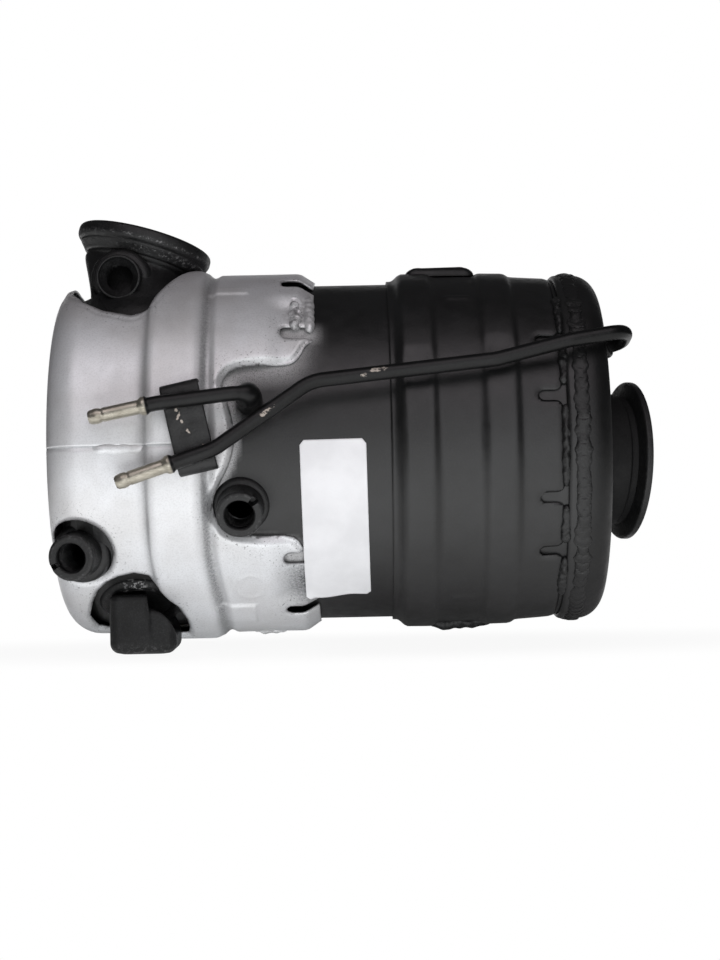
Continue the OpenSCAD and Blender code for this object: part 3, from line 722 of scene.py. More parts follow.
# The profile without its rounded left end, and only from the end of the band to the right edge
BODY_PROFILE, WAVE_PROFILE = SHIELD_PROFILE[END_STEPS + 1:], SHIELD_PROFILE[-9:]
BODY_LEFT = -112.0
SEAM_ANGLE = math.asin(SEAM_Z / PLAIN_R)
LIP_W, LIP_DROP, LIP_FLOOR = 3.6, 3.2, CAN_R + 1.2
NEAR_CAN_R, NEAR_CAN_SHARE = CAN_R + 2.2, 0.85
GROOVE_DROP, SLOT_DROP, LOW_LIP_DROP = 1.3, 0.5, 1.8
COLLAR_DROP, COLLAR_GROOVE = 1.3, 0.3
TOP_PAD_RISE, LOW_PAD_RISE, EMBOSS_RISE, DENT, LAP_DROP = 0.75, 1.1, 0.22, 0.25, 0.9
EMBOSS_X, EMBOSS_DEGREES, EMBOSS_R = -49.4, -46.0, 6.6


def shield_slots(p):
    return slot_distance(p, SHIELD_RIGHT, EDGE_SLOTS, SLOT_LEN)


def shield_cuts(p):
    return np.minimum(opening_distance(p), np.minimum(recess_distance(p), shield_slots(p)))


def lower_cuts(p):
    """The cuts of the lower half, which has no lap on the flat end: there it stops at the seam."""
    short_of_seam = (SEAM_ANGLE - np.radians(angle_of(p))) * np.hypot(p[..., 1], p[..., 2])
    cuts = shield_cuts(p)
    return np.where(p[..., 0] < SHIELD_LEFT + 1.5, np.minimum(cuts, short_of_seam), cuts)


def band_lean(angle):
    """How far the raised band shifts to the right towards the bottom, and back again behind it."""
    return 4.0 * smooth(-angle, 28.0, 62.0) * (1.0 - smooth(-angle, 110.0, 170.0))


def pressed_shield(p, radius):
    """Radius of the inlet shield with its bands, turned lips, lap pads, round emboss and small dents."""
    x, angle = p[..., 0], angle_of(p)
    along = x - band_lean(angle)
    leaned = np.interp(along, BODY_PROFILE[:, 0], BODY_PROFILE[:, 1])
    radius = np.where(x > BODY_LEFT, leaned + (radius - leaned) * smooth(x, -34.0, -28.0), radius)
    radius = radius - GROOVE_DROP * bump_at(along, BAND_RIGHT + 3.6, 3.4)
    near_can = smooth(x, -43.0, -30.0) * (1.0 - smooth(np.abs(angle), 50.0, 58.0))
    radius = radius - NEAR_CAN_SHARE * near_can * np.maximum(radius - NEAR_CAN_R, 0.0)
    lip = 1.0 - smooth(recess_distance(p), 0.0, LIP_W)
    radius = radius - np.minimum(LIP_DROP * lip * lip, np.maximum(radius - LIP_FLOOR, 0.0))
    radius = radius - SLOT_DROP * (1.0 - smooth(shield_slots(p), 0.0, 1.5))
    low_edge = np.minimum(front_boss_distance(p), lug_distance(p))
    radius = radius - LOW_LIP_DROP * (1.0 - smooth(low_edge, 0.0, 2.8)) ** 2
    collar = elbow_distance(p)
    radius = radius - COLLAR_DROP * (1.0 - smooth(collar, 0.0, 3.0)) ** 2
    radius = radius - COLLAR_GROOVE * bump_at(collar, 3.4, 1.4)
    radius = radius + TOP_PAD_RISE * pad(p, -57.5, 8.9, 60.5, 2.5)
    radius = radius + LOW_PAD_RISE * pad(p, -56.4, 8.9, -60.0, 5.5)
    ring = np.hypot(x - EMBOSS_X, CAN_R * np.radians(angle - EMBOSS_DEGREES))
    radius = radius + EMBOSS_RISE * bump_at(ring, EMBOSS_R, 1.4)
    return radius + DENT * grain(p, 30.0) * smooth(radius, 60.0, 80.0)


def pressed_lower(p, radius):
    """The lower half steps under the edge of the upper half at the seam."""
    under = smooth(np.radians(angle_of(p)), SEAM_ANGLE - 0.022, SEAM_ANGLE - 0.004)
    return pressed_shield(p, radius) - LAP_DROP * under * smooth(radius, 40.0, 70.0)


def shield_marks(p):
    """Painted shade in the step grooves and along the turned edges, a dark smudge between the lower slots,
    and scorch round the welded finger.
    """
    x, angle = p[..., 0], angle_of(p)
    along = x - band_lean(angle)
    # Painted shade in the two step grooves; the second one is darker towards the bottom
    first_step_shade = 0.32 * bump_at(along, BAND_LEFT + 0.4, 2.4)
    second_step_shade = (0.74 - 0.12 * smooth(angle, -40.0, 0.0)) * bump_at(along, BAND_RIGHT + 2.2, 4.2)
    smudge = 1.1 * smooth(x, -42.0, SHIELD_RIGHT - 4.0) * bump_at(angle, -46.0, 18.0)
    # Painted shade along the turned edges round the elbow opening and the recess
    turned_edge_shade = 0.3 * bump_at(elbow_distance(p), 2.2, 1.6)
    turned_edge_shade = turned_edge_shade + 0.5 * (1.0 - smooth(recess_distance(p), 0.0, 0.9))
    # Painted shade and the dark smudge, kept in one number
    soot = np.clip(first_step_shade + second_step_shade + smudge + turned_edge_shade, 0.0, 1.0)
    return {"soot": soot, "weld": 0.6 * bump_at(x, -26.0, 9.0) * bump_at(angle, 50.0, 9.0)}


def inlet_shield(silver):
    """Two front halves that lap at the seam, in fine sheets, and a coarser sheet behind."""
    fine, coarse, lap = 0.8, 1.7, 0.04
    step = fine / PLAIN_R
    upper = np.arange(SEAM_ANGLE, QUARTER + step / 2, step)
    lower = np.arange(-QUARTER, SEAM_ANGLE + lap, step)
    rear = np.linspace(QUARTER, 3.0 * QUARTER, 131)
    line = SHIELD_PROFILE
    sheet("inlet_shield_upper", silver, line, fine, upper, shield_cuts, pressed_shield, shield_marks)
    sheet("inlet_shield_lower", silver, line, fine, lower, lower_cuts, pressed_lower, shield_marks)
    sheet("inlet_shield_rear", silver, line, coarse, rear, opening_distance, pressed_shield)


# Filter heat shield

COVER_LEFT = 14.0
COVER_PROFILE = [
    (COVER_LEFT, 79.3), (16.0, 79.4), (17.3, 80.1), (19.3, 82.0), (20.9, 82.7), (31.6, 82.7), (33.1, 82.3),
    (34.9, 81.2), (36.4, 80.9), (52.6, 80.9), (54.1, 81.2), (55.9, 82.2), (57.4, 82.5), (67.4, 82.3),
    (68.9, 82.0), (70.7, 80.8), (72.2, 80.5), (80.0, 79.9), (RING_LEFT, 79.1),
]
LEFT_GAP_DROP, RIGHT_GAP_DROP, LAP_RISE, COVER_WAVE = 1.5, 1.3, 0.6, 0.3
FINGER_W, FINGER_LEN, MOUTH_R = 4.6, 12.0, 4.0
FINGERS = tuple((degrees, FINGER_W) for degrees in (-36.0, -16.8, 16.0, 36.0, 144.0, 164.0, 196.8, 216.0))
# Spots of lost paint: degrees round the can, x
COVER_SPOTS = ((-0.3, 22.6), (-24.0, 25.0), (11.0, 40.0))


def cover_cuts(p):
    """Distance to the slots in the right edge, whose mouths widen in a round."""
    slot = slot_distance(p, RING_LEFT, FINGERS, FINGER_LEN)
    edge = RING_LEFT - 1.5 - p[..., 0]
    blend = np.maximum(MOUTH_R - np.abs(slot - edge), 0.0)
    return np.minimum(slot, edge) - blend * blend / (4.0 * MOUTH_R)


def pressed_cover(p, radius):
    """Radius of the filter shield: bands that stop below the pipe, lap lines and a soft hand-formed wave."""
    x, angle = p[..., 0], angle_of(p)
    left_gap = bump_at(angle, 25.5, 8.0) * bump_at(x, 26.0, 10.5)
    right_gap = bump_at(angle, 30.0, 8.0) * bump_at(x, 62.0, 9.5)
    radius = radius - LEFT_GAP_DROP * left_gap - RIGHT_GAP_DROP * right_gap
    radius = radius + LAP_RISE * pad(p, 45.0, 5.6, 56.5, 1.1) + LAP_RISE * pad(p, 46.0, 5.6, -56.0, 1.1)
    away_from_ends = smooth(x, COVER_LEFT, 24.0) * (1.0 - smooth(x, 80.0, RING_LEFT))
    radius = radius + COVER_WAVE * grain(p, 22.0) * away_from_ends
    return radius - SLOT_DROP * (1.0 - smooth(cover_cuts(p), 0.0, 2.2))


def cover_marks(p):
    """A few small chips in the paint."""
    angle = angle_of(p)
    return {"chip": sum(bump_at(angle, a, 1.0) * bump_at(p[..., 0], x, 1.4) for a, x in COVER_SPOTS)}


def filter_shield(black):
    """A front half in a fine sheet and a rear half in a coarser one."""
    step = 1.1 / CAN_R
    front = np.arange(-QUARTER, QUARTER + step / 2, step)
    rear = np.linspace(QUARTER, 3.0 * QUARTER, 141)
    for name, angles, spacing in (("filter_shield_front", front, 1.0), ("filter_shield_rear", rear, 1.5)):
        sheet(name, black, COVER_PROFILE, spacing, angles, cover_cuts, pressed_cover, cover_marks)


# Insulation

INLET_LAYER = [
    (-131.0, 20.0), (-131.0, 62.0), (-128.0, 72.0), (-120.0, 78.5), (-112.0, 80.6), (-75.0, 80.6),
    (-71.0, 79.3), (-40.0, 79.3),
]
COVER_LAYER = [(20.0, 79.0), (84.0, 79.0)]
INLET_LAYER_INSET, COVER_LAYER_INSET, LAYER_SHEET = 10.0, 6.0, 0.8


def insulation(fibre):
    """Fibre layers below the shields, thinner than the space so that the pressed sheets clear them."""
    around = np.linspace(-math.pi, math.pi, 161)

    def inlet_cuts(p):
        return np.minimum(opening_distance(p), recess_distance(p)) - INLET_LAYER_INSET

    def filter_cuts(p):
        return cover_cuts(p) - COVER_LAYER_INSET

    def uneven(p, radius):
        return radius + 0.15 * grain(p, 4.0)

    layers = (("inlet_insulation", INLET_LAYER, inlet_cuts), ("filter_insulation", COVER_LAYER, filter_cuts))
    for name, line, cuts in layers:
        sheet(name, fibre, line, 2.8, around, cuts, uneven, thickness=LAYER_SHEET)


# Can, weld and outlet

ALONG_CAN = facing((1.0, 0.0, 0.0))
AXIS_START = np.zeros(3)
OUTLET_ROT = turn("Z", OUTLET_TURN) @ turn("Y", OUTLET_DIP) @ turn("Y", 90.0)
WELD_BEADS, WELD_X, WELD_HALF, WELD_HIGH, WELD_SINK = 104, RING_RIGHT - 1.0, 3.3, 1.0, 0.4


def boss_axis():
    """Middle of the can below the middle boss, and the direction out of that boss."""
    drop = math.radians(MIDDLE_BOSS_DROP)
    return np.array([MIDDLE_BOSS_X, 0.0, 0.0]), np.array([0.0, -math.cos(drop), -math.sin(drop)])


def can_cuts(p):
    """Distance to the gas hole below the middle boss."""
    start, out = boss_axis()
    along, off = axis_distance(p - start, out)
    return only_where(along > 0, off - THREAD_R)


def can_marks(p):
    """Silver overspray where the inlet shield was painted against the can, with more of it in two slots."""
    x, angle = p[..., 0], angle_of(p)
    inside = -recess_distance(p)
    reach = np.where(p[..., 2] > 25.0, 13.0, 3.0)
    spray = np.clip(1.0 - inside / reach, 0.0, 1.0) * (inside > -6.0) * (1.0 - smooth(x, -34.0, -12.0))
    upper_slot = bump_at(angle, EDGE_SLOTS[1][0], 7.0) * bump_at(x, -27.0, 14.0)
    lower_slot = bump_at(angle, EDGE_SLOTS[2][0], 6.0) * bump_at(x, -30.0, 12.0)
    return {"overspray": np.maximum(spray, np.clip(1.4 * (upper_slot + lower_slot), 0.0, 1.0))}


def main_can(black):
    """The rolled can."""
    around = np.linspace(-math.pi, math.pi, 261)
    line = [(CAN_LEFT, CAN_R), (CAN_RIGHT, CAN_R)]
    sheet("main_can", black, line, 2.4, around, can_cuts, marks=can_marks, thickness=CAN_SHEET)


def end_ring(black):
    profile = rounded([
        (RING_LEFT, CAN_R), (RING_LEFT, RING_R - 1.0), (RING_LEFT + 1.4, RING_R), (RING_RIGHT, RING_R),
        (RING_RIGHT, CAN_R),
    ], 0.8)
    turned("end_ring", black, profile, AXIS_START, ALONG_CAN, steps=220)


def end_weld(black):
    """The bead between ring and cone: stacked ripples of uneven width and height."""
    def ripple(local, along, radius, angle):
        out = outward(angle)
        wander = grain(out * RING_R, 9.0)
        spread = grain(out * RING_R, 4.0, 7.0)
        across = along - RING_RIGHT + 1.0
        share = np.mod(WELD_BEADS * angle / FULL + 0.6 * wander + 0.075 * across ** 2, 1.0)
        coin = np.sqrt(1.0 - share ** 2)
        top = smooth(radius, RING_R - 0.6, RING_R + 0.4)
        moved = local + out * ((0.6 * coin * (0.7 + 0.9 * wander) + 0.35 * wander) * top)[..., None]
        moved[..., 2] += 0.9 * wander + across * (0.5 * spread + 0.12 * coin - 0.06)
        return moved

    profile = [
        (WELD_X + WELD_HALF * math.cos(t), RING_R - WELD_SINK + WELD_HIGH * math.sin(t))
        for t in np.linspace(0.0, FULL, 24, endpoint=False)
    ]
    turned("end_weld", black, profile, AXIS_START, ALONG_CAN, steps=1200, change=ripple)


def outlet_cone(black):
    """Spun cone with a rounded shoulder and a flat end round the neck."""
    outside = [(RING_RIGHT, RING_R)]
    outside += arc(CAN_RIGHT, RING_R - CONE_SHOULDER, CONE_SHOULDER, 90.0, 20.0, 12)
    outside += [(CONE_RIGHT - 0.6, 42.0), (CONE_RIGHT, OUTLET_NECK_R - 1.0)]
    inside = [(a - 1.5, r - 0.8) for a, r in reversed(outside)]
    turned("outlet_cone", black, refined(outside + inside, 2.0), AXIS_START, ALONG_CAN, steps=200)


def outlet_pipe(black, casting):
    """The neck, with a thin weld line at its foot, and the rim that a band clamp draws up."""
    bore, neck, rim = OUTLET_BORE_R, OUTLET_NECK_R, OUTLET_RIM_R
    tube = rounded([
        (-20.0, bore), (-20.0, neck + 1.6), (-8.4, neck + 1.0), (-7.8, neck + 0.2), (-4.0, neck),
        (-4.0, bore),
    ], 0.5)
    turned("outlet_neck", black, refined(tube, 1.0), OUTLET_FACE, OUTLET_ROT, steps=160)
    flange = rounded([
        (0.0, bore), (0.0, rim), (-2.7, rim), (-3.4, rim - 0.9), (-4.6, neck + 1.2), (-5.0, neck - 0.6),
        (-5.0, bore),
    ], 0.6)
    turned("outlet_flange", casting, refined(flange, 1.2), OUTLET_FACE, OUTLET_ROT, steps=160)


# Inlet

INLET_ROT = turn("Y", INLET_LEAN) @ turn("X", -INLET_TIP)


def inlet_flange(casting):
    """The rim that a band clamp draws up, worn on its edge, and paler on the right of its cone as painted
    light.
    """
    bore, neck, rim = INLET_BORE_R, INLET_NECK_R, INLET_RIM_R
    profile = rounded([
        (0.6, bore), (0.6, rim - 1.2), (-0.8, rim), (-4.0, rim), (-5.6, rim - 0.8), (-6.6, rim - 2.2),
        (-7.2, rim - 2.3), (-9.6, neck + 1.4), (-11.4, neck + 0.2), (-11.4, bore),
    ], 1.3)
    points, faces = lathe(refined(profile, 0.8), INLET_FACE, INLET_ROT, steps=180)
    local = (points - INLET_FACE) @ INLET_ROT
    out = np.hypot(local[:, 0], local[:, 1])
    rim_wear = 0.55 * bump_at(local[:, 2], -4.2, 0.9) * (out > rim - 1.2)
    # Painted light: pale rubs on the cone kept to its right side, where the light falls on it
    cone_rubs_and_painted_light = 0.5 * bump_at(local[:, 2], -8.6, 2.4) * (out > neck) * smooth(local[:, 0], -22.0, 18.0)
    piece("inlet_flange", points, faces, casting, numbers={"chip": rim_wear + cone_rubs_and_painted_light})


def eased_rings(keys, steps):
    """Rings that pass smoothly through all the key rings."""
    rows = []
    for i in range(len(keys) - 1):
        before, after = keys[max(i - 1, 0)], keys[min(i + 2, len(keys) - 1)]
        for t in np.linspace(0.0, 1.0, steps, endpoint=False):
            near_side = (-t + 2 * t * t - t ** 3) * before + (2 - 5 * t * t + 3 * t ** 3) * keys[i]
            far_side = (t + 4 * t * t - 3 * t ** 3) * keys[i + 1] + (-t * t + t ** 3) * after
            rows.append(0.5 * (near_side + far_side))
    rows.append(keys[-1])
    return np.array(rows)


def inlet_elbow(casting):
    """Cast elbow: rings from the round neck over a narrow waist to the oval foot, with a passage inside."""
    sides = 160
    theta = np.linspace(0.0, FULL, sides, endpoint=False)
    cosine, sine = np.cos(theta), np.sin(theta)

    def neck(depth, radius):
        local = np.stack([radius * cosine, radius * sine, 0 * theta - depth], axis=-1)
        return local @ INLET_ROT.T + INLET_FACE

    def oval(x, half, spread, z):
        y = spread * np.clip(2.5 * sine, -1.0, 1.0) + half * sine
        return np.stack([x + half * cosine, y, 0 * theta + z], axis=-1)

    def wall(inset):
        return eased_rings([
            neck(9.0, INLET_NECK_R - inset), neck(12.0, INLET_NECK_R - 0.6 - inset),
            neck(16.0, INLET_NECK_R - 1.0 - inset), oval(-100.2, 23.6 - inset, 15.0, 74.0),
            oval(-100.4, 23.8 - inset, 24.0, 66.0), oval(-102.0, 26.0 - inset, 28.0, 57.0),
            oval(FOOT_X, FOOT_R - inset, FOOT_SPREAD, FOOT_Z + 2.0),
        ], 12)

    outer = wall(0.0)
    outer = outer + 0.3 * grain(outer, 8.0)[..., None] * np.array([0.0, -1.0, 0.2])
    rings = np.concatenate([outer, wall(ELBOW_WALL)[::-1]])
    points = rings.reshape(-1, 3)
    off_axis = np.hypot(points[:, 0] - INLET_BOSS_FACE[0], points[:, 2] - INLET_BOSS_FACE[2])
    on_outside = np.arange(len(points)) < outer[..., 0].size
    in_hole = (off_axis < THREAD_R + 0.6) & (points[:, 1] < 0.0) & on_outside
    faces = [f for f in tube_faces(len(rings), sides, closed=True) if not all(in_hole[i] for i in f)]
    piece("inlet_elbow", points, faces, casting)


# Sensor bosses

def sensor_boss(name, casting, face, axis, length, collar, hole_r, notch=None, rubs_and_painted_light=0.0):
    """Turned boss with a countersunk threaded hole and a spread collar, given as (radius, length).

    notch is where the notch in its face ring lies, in degrees, and rubbed is how worn that ring is.
    """
    collar_r, collar_len = collar

    def threaded(local, along, radius, angle):
        crest = np.abs(2.0 * np.mod(along / THREAD_PITCH + angle / FULL, 1.0) - 1.0)
        in_thread = (radius < THREAD_R + 0.05) & (along < -5.2)
        moved = local + outward(angle) * np.where(in_thread, THREAD_DEEP * crest, 0.0)[..., None]
        if notch is not None:
            off = np.abs(wrapped(angle - math.radians(notch)))
            moved[..., 2] -= NOTCH_DEEP * (along > -1.2) * (off < NOTCH_HALF)
        return moved

    shell = [(-5.0, THREAD_R), (-4.4, THREAD_R + 0.4)]
    shell += [(-1.6, hole_r - 0.3), (-0.5, hole_r), (0.0, hole_r + 0.5)]
    shell += [(0.0, BOSS_R - 1.1), (-0.35, BOSS_R - 0.4), (-1.1, BOSS_R), (-length + collar_len, BOSS_R)]
    bulge = collar_r - BOSS_R
    shell += [
        (-length + collar_len - bulge * (1.0 - math.cos(t)) - 0.3, BOSS_R + bulge * math.sin(t))
        for t in np.linspace(0.15, QUARTER, 7)
    ]
    shell += [(-length, collar_r + 0.4), (-length, THREAD_R)]
    points, faces = lathe(refined(shell, 0.5), face, facing(axis), steps=84, change=threaded)
    ring = np.abs(np.linalg.norm(points - face, axis=1) - BOSS_R) < 1.6
    piece(name, points, faces, casting, numbers={"chip": rubs_and_painted_light * ring})


def sensor_bosses(casting):
    start, out = boss_axis()
    middle_face = start + MIDDLE_BOSS_FACE_R * out
    sensor_boss(
        "middle_sensor_boss", casting, middle_face, out,
        length=16.0, collar=(12.6, 4.0), hole_r=6.5, notch=45.0, rubs_and_painted_light=0.1,
    )
    sensor_boss(
        "front_sensor_boss", casting, FRONT_BOSS_FACE, FRONT_BOSS_AXIS,
        length=26.0, collar=(13.2, 13.0), hole_r=6.5, notch=205.0, rubs_and_painted_light=0.15,
    )
    sensor_boss(
        "inlet_sensor_boss", casting, INLET_BOSS_FACE, TO_FRONT, length=17.0, collar=(13.8, 8.5), hole_r=8.9,
    )


# Pipes

# Worn places of the rear pipe: distance from its tip, half length, degrees below the front
REAR_SCUFFS = ((72.0, 6.5, 0.0), (117.5, 2.6, 8.0), (124.0, 7.5, -24.0))
SCUFF_HALF_DEGREES = 32.0
FERRULE_R, FERRULE_SINK = 5.2, 3.0


def bent_line(route, bend, spacing):
    """Points along a route of straight runs with soft bends, and how far along it they lie."""
    route = [np.array(p, dtype=float) for p in route]
    line = [route[0]]
    for before, here, after in zip(route[:-2], route[1:-1], route[2:]):
        into, out = unit(here - before), unit(after - here)
        corner = math.acos(np.clip(into @ out, -1.0, 1.0))
        reach = bend * math.tan(corner / 2.0)
        reach = min(reach, 0.48 * np.linalg.norm(here - before), 0.48 * np.linalg.norm(after - here))
        line += bend_points(here - into * reach, here, here + out * reach, 12)
    line.append(route[-1])
    length = line_length(line)
    stations = np.arange(0.0, length[-1], spacing)
    line = np.array(line)
    return np.stack([np.interp(stations, length, line[:, k]) for k in range(3)], axis=-1), stations


def nipple_radius(s):
    """Radius along the pipe from its tip: round tip, hose bead, groove, flared collar, plain pipe."""
    r = PIPE_R - 0.7 * (1.0 - smooth(s, 0.0, 1.2)) ** 2
    r = r + 0.3 * bump_at(s, 3.4, 2.4) - 0.3 * bump_at(s, 5.8, 0.8)
    past = s - NIPPLE_LEN
    flare = smooth(past, -2.6, -0.4) * (1.0 - smooth(past, 1.0, 2.2))
    return r + 1.0 * flare + 0.15 * smooth(past, 1.0, 2.0)


def pressure_pipe(name, route, black, knuckle=0.0, scuffs=()):
    """Bent pipe with a bare nipple and, where it enters the skin, a knuckle that is thicker by so much."""
    line, s = bent_line(route, PIPE_BEND, 0.5)
    bored = 20
    outer = swept(line, nipple_radius(s) + knuckle * smooth(s, s[-1] - 19.0, s[-1] - 12.0))
    around = (outer[0] - line[0]) / nipple_radius(0.0)
    face = np.stack([line[0] + r * around for r in np.linspace(PIPE_R - 0.8, PIPE_BORE_R, 3)])
    inner = np.stack([line[i] + PIPE_BORE_R * around for i in range(bored)])
    rings = np.concatenate([outer[::-1], face, inner])
    points, faces = capped(rings)
    sides = rings.shape[1]
    along = np.repeat(np.concatenate([s[::-1], np.zeros(len(face)), s[:bored]]), sides)
    below = np.tile(np.linspace(0.0, 360.0, sides, endpoint=False), len(rings))
    bare = 1.0 - smooth(along, NIPPLE_LEN + 0.2, NIPPLE_LEN + 1.0)
    chip = 0.0 * along
    for middle, half, degrees in scuffs:
        across = bump_at(wrapped(below - degrees, 360.0), 0.0, SCUFF_HALF_DEGREES)
        chip = chip + bump_at(along, middle, half) * across
    piece(name, points, faces, black, numbers={"bare": bare, "chip": np.clip(2.0 * chip, 0.0, 1.0)})


def ferrule(name, inside, outside, tall, black):
    """Ring with a soft fillet where a pipe enters a skin."""
    inside, outside = np.array(inside, dtype=float), np.array(outside, dtype=float)
    shell = rounded([
        (-FERRULE_SINK, PIPE_R), (-FERRULE_SINK, FERRULE_R), (tall - 1.6, FERRULE_R), (tall - 0.4, 4.6),
        (tall, 3.6), (tall, PIPE_R),
    ], 0.6)
    turned(name, black, refined(shell, 0.8), inside, facing(outside - inside), steps=64)


def pressure_pipes(black):
    pressure_pipe("front_pressure_pipe", FRONT_ROUTE, black, knuckle=2.5)
    pressure_pipe("rear_pressure_pipe", REAR_ROUTE, black, scuffs=REAR_SCUFFS)
    ferrule("front_pipe_ferrule", FRONT_ROUTE[-1], FRONT_ROUTE[-2], 9.0, black)
    ferrule("rear_pipe_ferrule", REAR_ROUTE[-1], REAR_ROUTE[-2], 5.8, black)


# Bracket

BRACKET_WIDE, BRACKET_TALL, BRACKET_THICK, BRACKET_LEG = 17.0, 40.0, 2.0, 8.0
BRACKET_MIDDLE = np.array([-73.0, -90.3 + BRACKET_THICK / 2, 10.5])
BRACKET_LEAN, BRACKET_BEND = -12.0, 4.6
# Flakes of paint lost on the bracket: x, z, half length, half width, lean in degrees
BRACKET_FLAKES = (
    (-77.9, 18.0, 1.0, 0.8, 30.0),
    (-77.1, 15.2, 2.3, 0.8, -20.0),
    (-75.6, 13.0, 1.6, 0.6, 15.0),
    (-73.0, 8.9, 1.7, 0.7, 35.0),
    (-66.1, 2.5, 1.5, 0.7, 60.0),
)
FLAKE_DEPTH = 1.35


def pipe_bracket(black):
    """Strip bent back at both ends, with rough paint that is chipped to the metal."""
    half = BRACKET_TALL / 2 - BRACKET_THICK / 2
    route = [(0, BRACKET_LEG, -half), (0, 0, -half), (0, 0, half), (0, BRACKET_LEG, half)]
    line, _ = bent_line(route, BRACKET_BEND, 0.5)
    loop = np.array(refined(rounded_rectangle(BRACKET_WIDE, BRACKET_THICK, 0.8, 4), 0.7))
    across = np.array([1.0, 0.0, 0.0])
    rings = np.array([
        p + loop[:, :1] * across + loop[:, 1:] * np.cross(t, across) for p, t in zip(line, tangents(line))
    ])
    rings = rings + 0.3 * grain(rings, 5.0)[..., None] * TO_FRONT
    points, faces = capped(rings)
    points = points @ turn("Y", BRACKET_LEAN).T + BRACKET_MIDDLE
    chip = np.zeros(len(points))
    for x, z, half_long, half_wide, lean in BRACKET_FLAKES:
        upright = turn("Y", lean).T @ UP
        off = points - np.array([x, 0.0, z])
        beside = off @ np.cross(upright, -TO_FRONT)
        inside = 1.0 - smooth(np.hypot(off @ upright / half_long, beside / half_wide), 0.4, 1.5)
        chip = np.maximum(chip, FLAKE_DEPTH * inside)
    piece("pipe_bracket", points, faces, black, numbers={"chip": chip})


# Lug

LUG_LEFT, LUG_RIGHT, LUG_FRONT, LUG_BACK, LUG_BOTTOM, LUG_TOP = -112.3, -82.7, -60.9, -28.5, -88.8, -62.4
LUG_CORNER, LUG_LOW_R, LUG_HIGH_R = 4.5, 5.0, 2.2
SHOULDER_X, SHOULDER_STEP, SHOULDER_FALL = -94.0, 6.2, 13.0
DISH_X, DISH_DEGREES = -99.5, 58.0


def round_off(depth, radius):
    """How far a rounded edge lies inside its corner, at a depth from the corner."""
    short = 1.0 - np.minimum(depth / radius, 1.0)
    return radius * (1.0 - np.sqrt(np.clip(1.0 - short ** 2, 0.0, 1.0)))


def support_lug(casting):
    """Cast lug: one rounded block whose right shoulder is lower than its left one."""
    wide, deep = LUG_RIGHT - LUG_LEFT, LUG_BACK - LUG_FRONT
    middle_x, middle_y = (LUG_LEFT + LUG_RIGHT) / 2, (LUG_FRONT + LUG_BACK) / 2
    loop = np.array(refined(rounded_rectangle(wide, deep, LUG_CORNER, 8), 0.9))
    x, y = middle_x + loop[:, 0], middle_y + loop[:, 1]
    fall = np.clip((x - SHOULDER_X) / (LUG_RIGHT - SHOULDER_X), 0.0, 1.0)
    top = LUG_TOP - SHOULDER_STEP * smooth(x, SHOULDER_X - 1.2, SHOULDER_X - 0.4)
    top = top - SHOULDER_FALL * (1.0 - np.sqrt(1.0 - 0.96 * fall ** 2))
    rings = []
    for share in np.linspace(0.0, 1.0, 40):
        z = top + (LUG_BOTTOM - top) * share
        inset = np.clip(round_off(z - LUG_BOTTOM, LUG_LOW_R) + round_off(top - z, LUG_HIGH_R), 0.0, LUG_LOW_R)
        crease = 0.9 * bump_at(x, SHOULDER_X - 1.0, 1.6) * (1.0 - smooth(top - z, 4.0, 16.0))
        crease = crease * (y < LUG_FRONT + 6.0)
        ring_x = middle_x + loop[:, 0] * (1.0 - 2.0 * inset / wide)
        ring_y = middle_y + loop[:, 1] * (1.0 - 2.0 * inset / deep) + crease
        rings.append(np.column_stack([ring_x, ring_y, z]))
    rings = np.array(rings)
    rings = rings + 0.3 * grain(rings, 7.0)[..., None] * TO_FRONT
    middle = rings[0].mean(axis=0)
    lid = np.array([middle + (rings[0] - middle) * share for share in (0.3, 0.6, 0.85)])
    lid[..., 2] = rings[0][:, 2] + 0.1
    points, faces = capped(np.concatenate([lid, rings]))
    chip = 0.15 * np.clip(1.2 - np.abs(points[:, 2] + 88.0) / 4.0, 0.0, 1.0)
    piece("support_lug", points, faces, casting, numbers={"chip": chip})


def lug_dish(casting):
    """The pressed dish round the lug, with a few scratches at its top."""
    slope = math.radians(DISH_DEGREES)
    out = np.array([0.0, -math.cos(slope), -math.sin(slope)])
    dish = rounded([(77.5, 12.0), (79.6, 12.6), (80.6, 15.0), (80.2, 17.6), (78.2, 19.4), (76.0, 19.0)], 1.0)
    points, faces = lathe(refined(dish, 0.8), (DISH_X, 0.0, 0.0), facing(out), steps=120)
    scratch = bump_at(points[:, 0], -100.0, 9.0) * (points[:, 2] > -62.0)
    piece("lug_dish", points, faces, casting, stands_for=False, numbers={"chip": scratch})


# Welds, tab and sticker

def weld_bead(name, coat, x, degrees, radius, size, sink=0.35, seed=0.0, scorch=0.0, lumpy=0.38):
    """A lumpy weld along a line on the can.

    x and degrees hold the ends along the can and round it; size is the half width.
    """
    count, sides, far_from_edge = 90, 26, 20.0
    t = np.linspace(0.0, 1.0, count)
    angle = np.radians(degrees[0] + (degrees[1] - degrees[0]) * t)
    middle = on_can(x[0] + (x[1] - x[0]) * t, np.full(count, radius - sink * size), angle)
    wander = grain(middle, 3.0 * size, seed) * min(1.0, 2.0 * lumpy)
    ends = np.sqrt(np.clip(1.0 - np.abs(2.0 * t - 1.0) ** 6, 0.0, 1.0))
    rings = swept(middle, size * (0.9 + 0.35 * wander) * ends + 0.05, sides)
    rough = grain(rings, 1.1 * size, seed + 7.0)
    out = rings - middle[:, None, :]
    rings = middle[:, None, :] + out * (1.0 + lumpy * rough * ends[:, None])[..., None]
    points, faces = capped(rings)
    numbers = {"weld": np.full(len(points), scorch), "edge": np.full(len(points), far_from_edge)}
    piece(name, points, faces, coat, stands_for=False, numbers=numbers, smooth_angle=60.0)


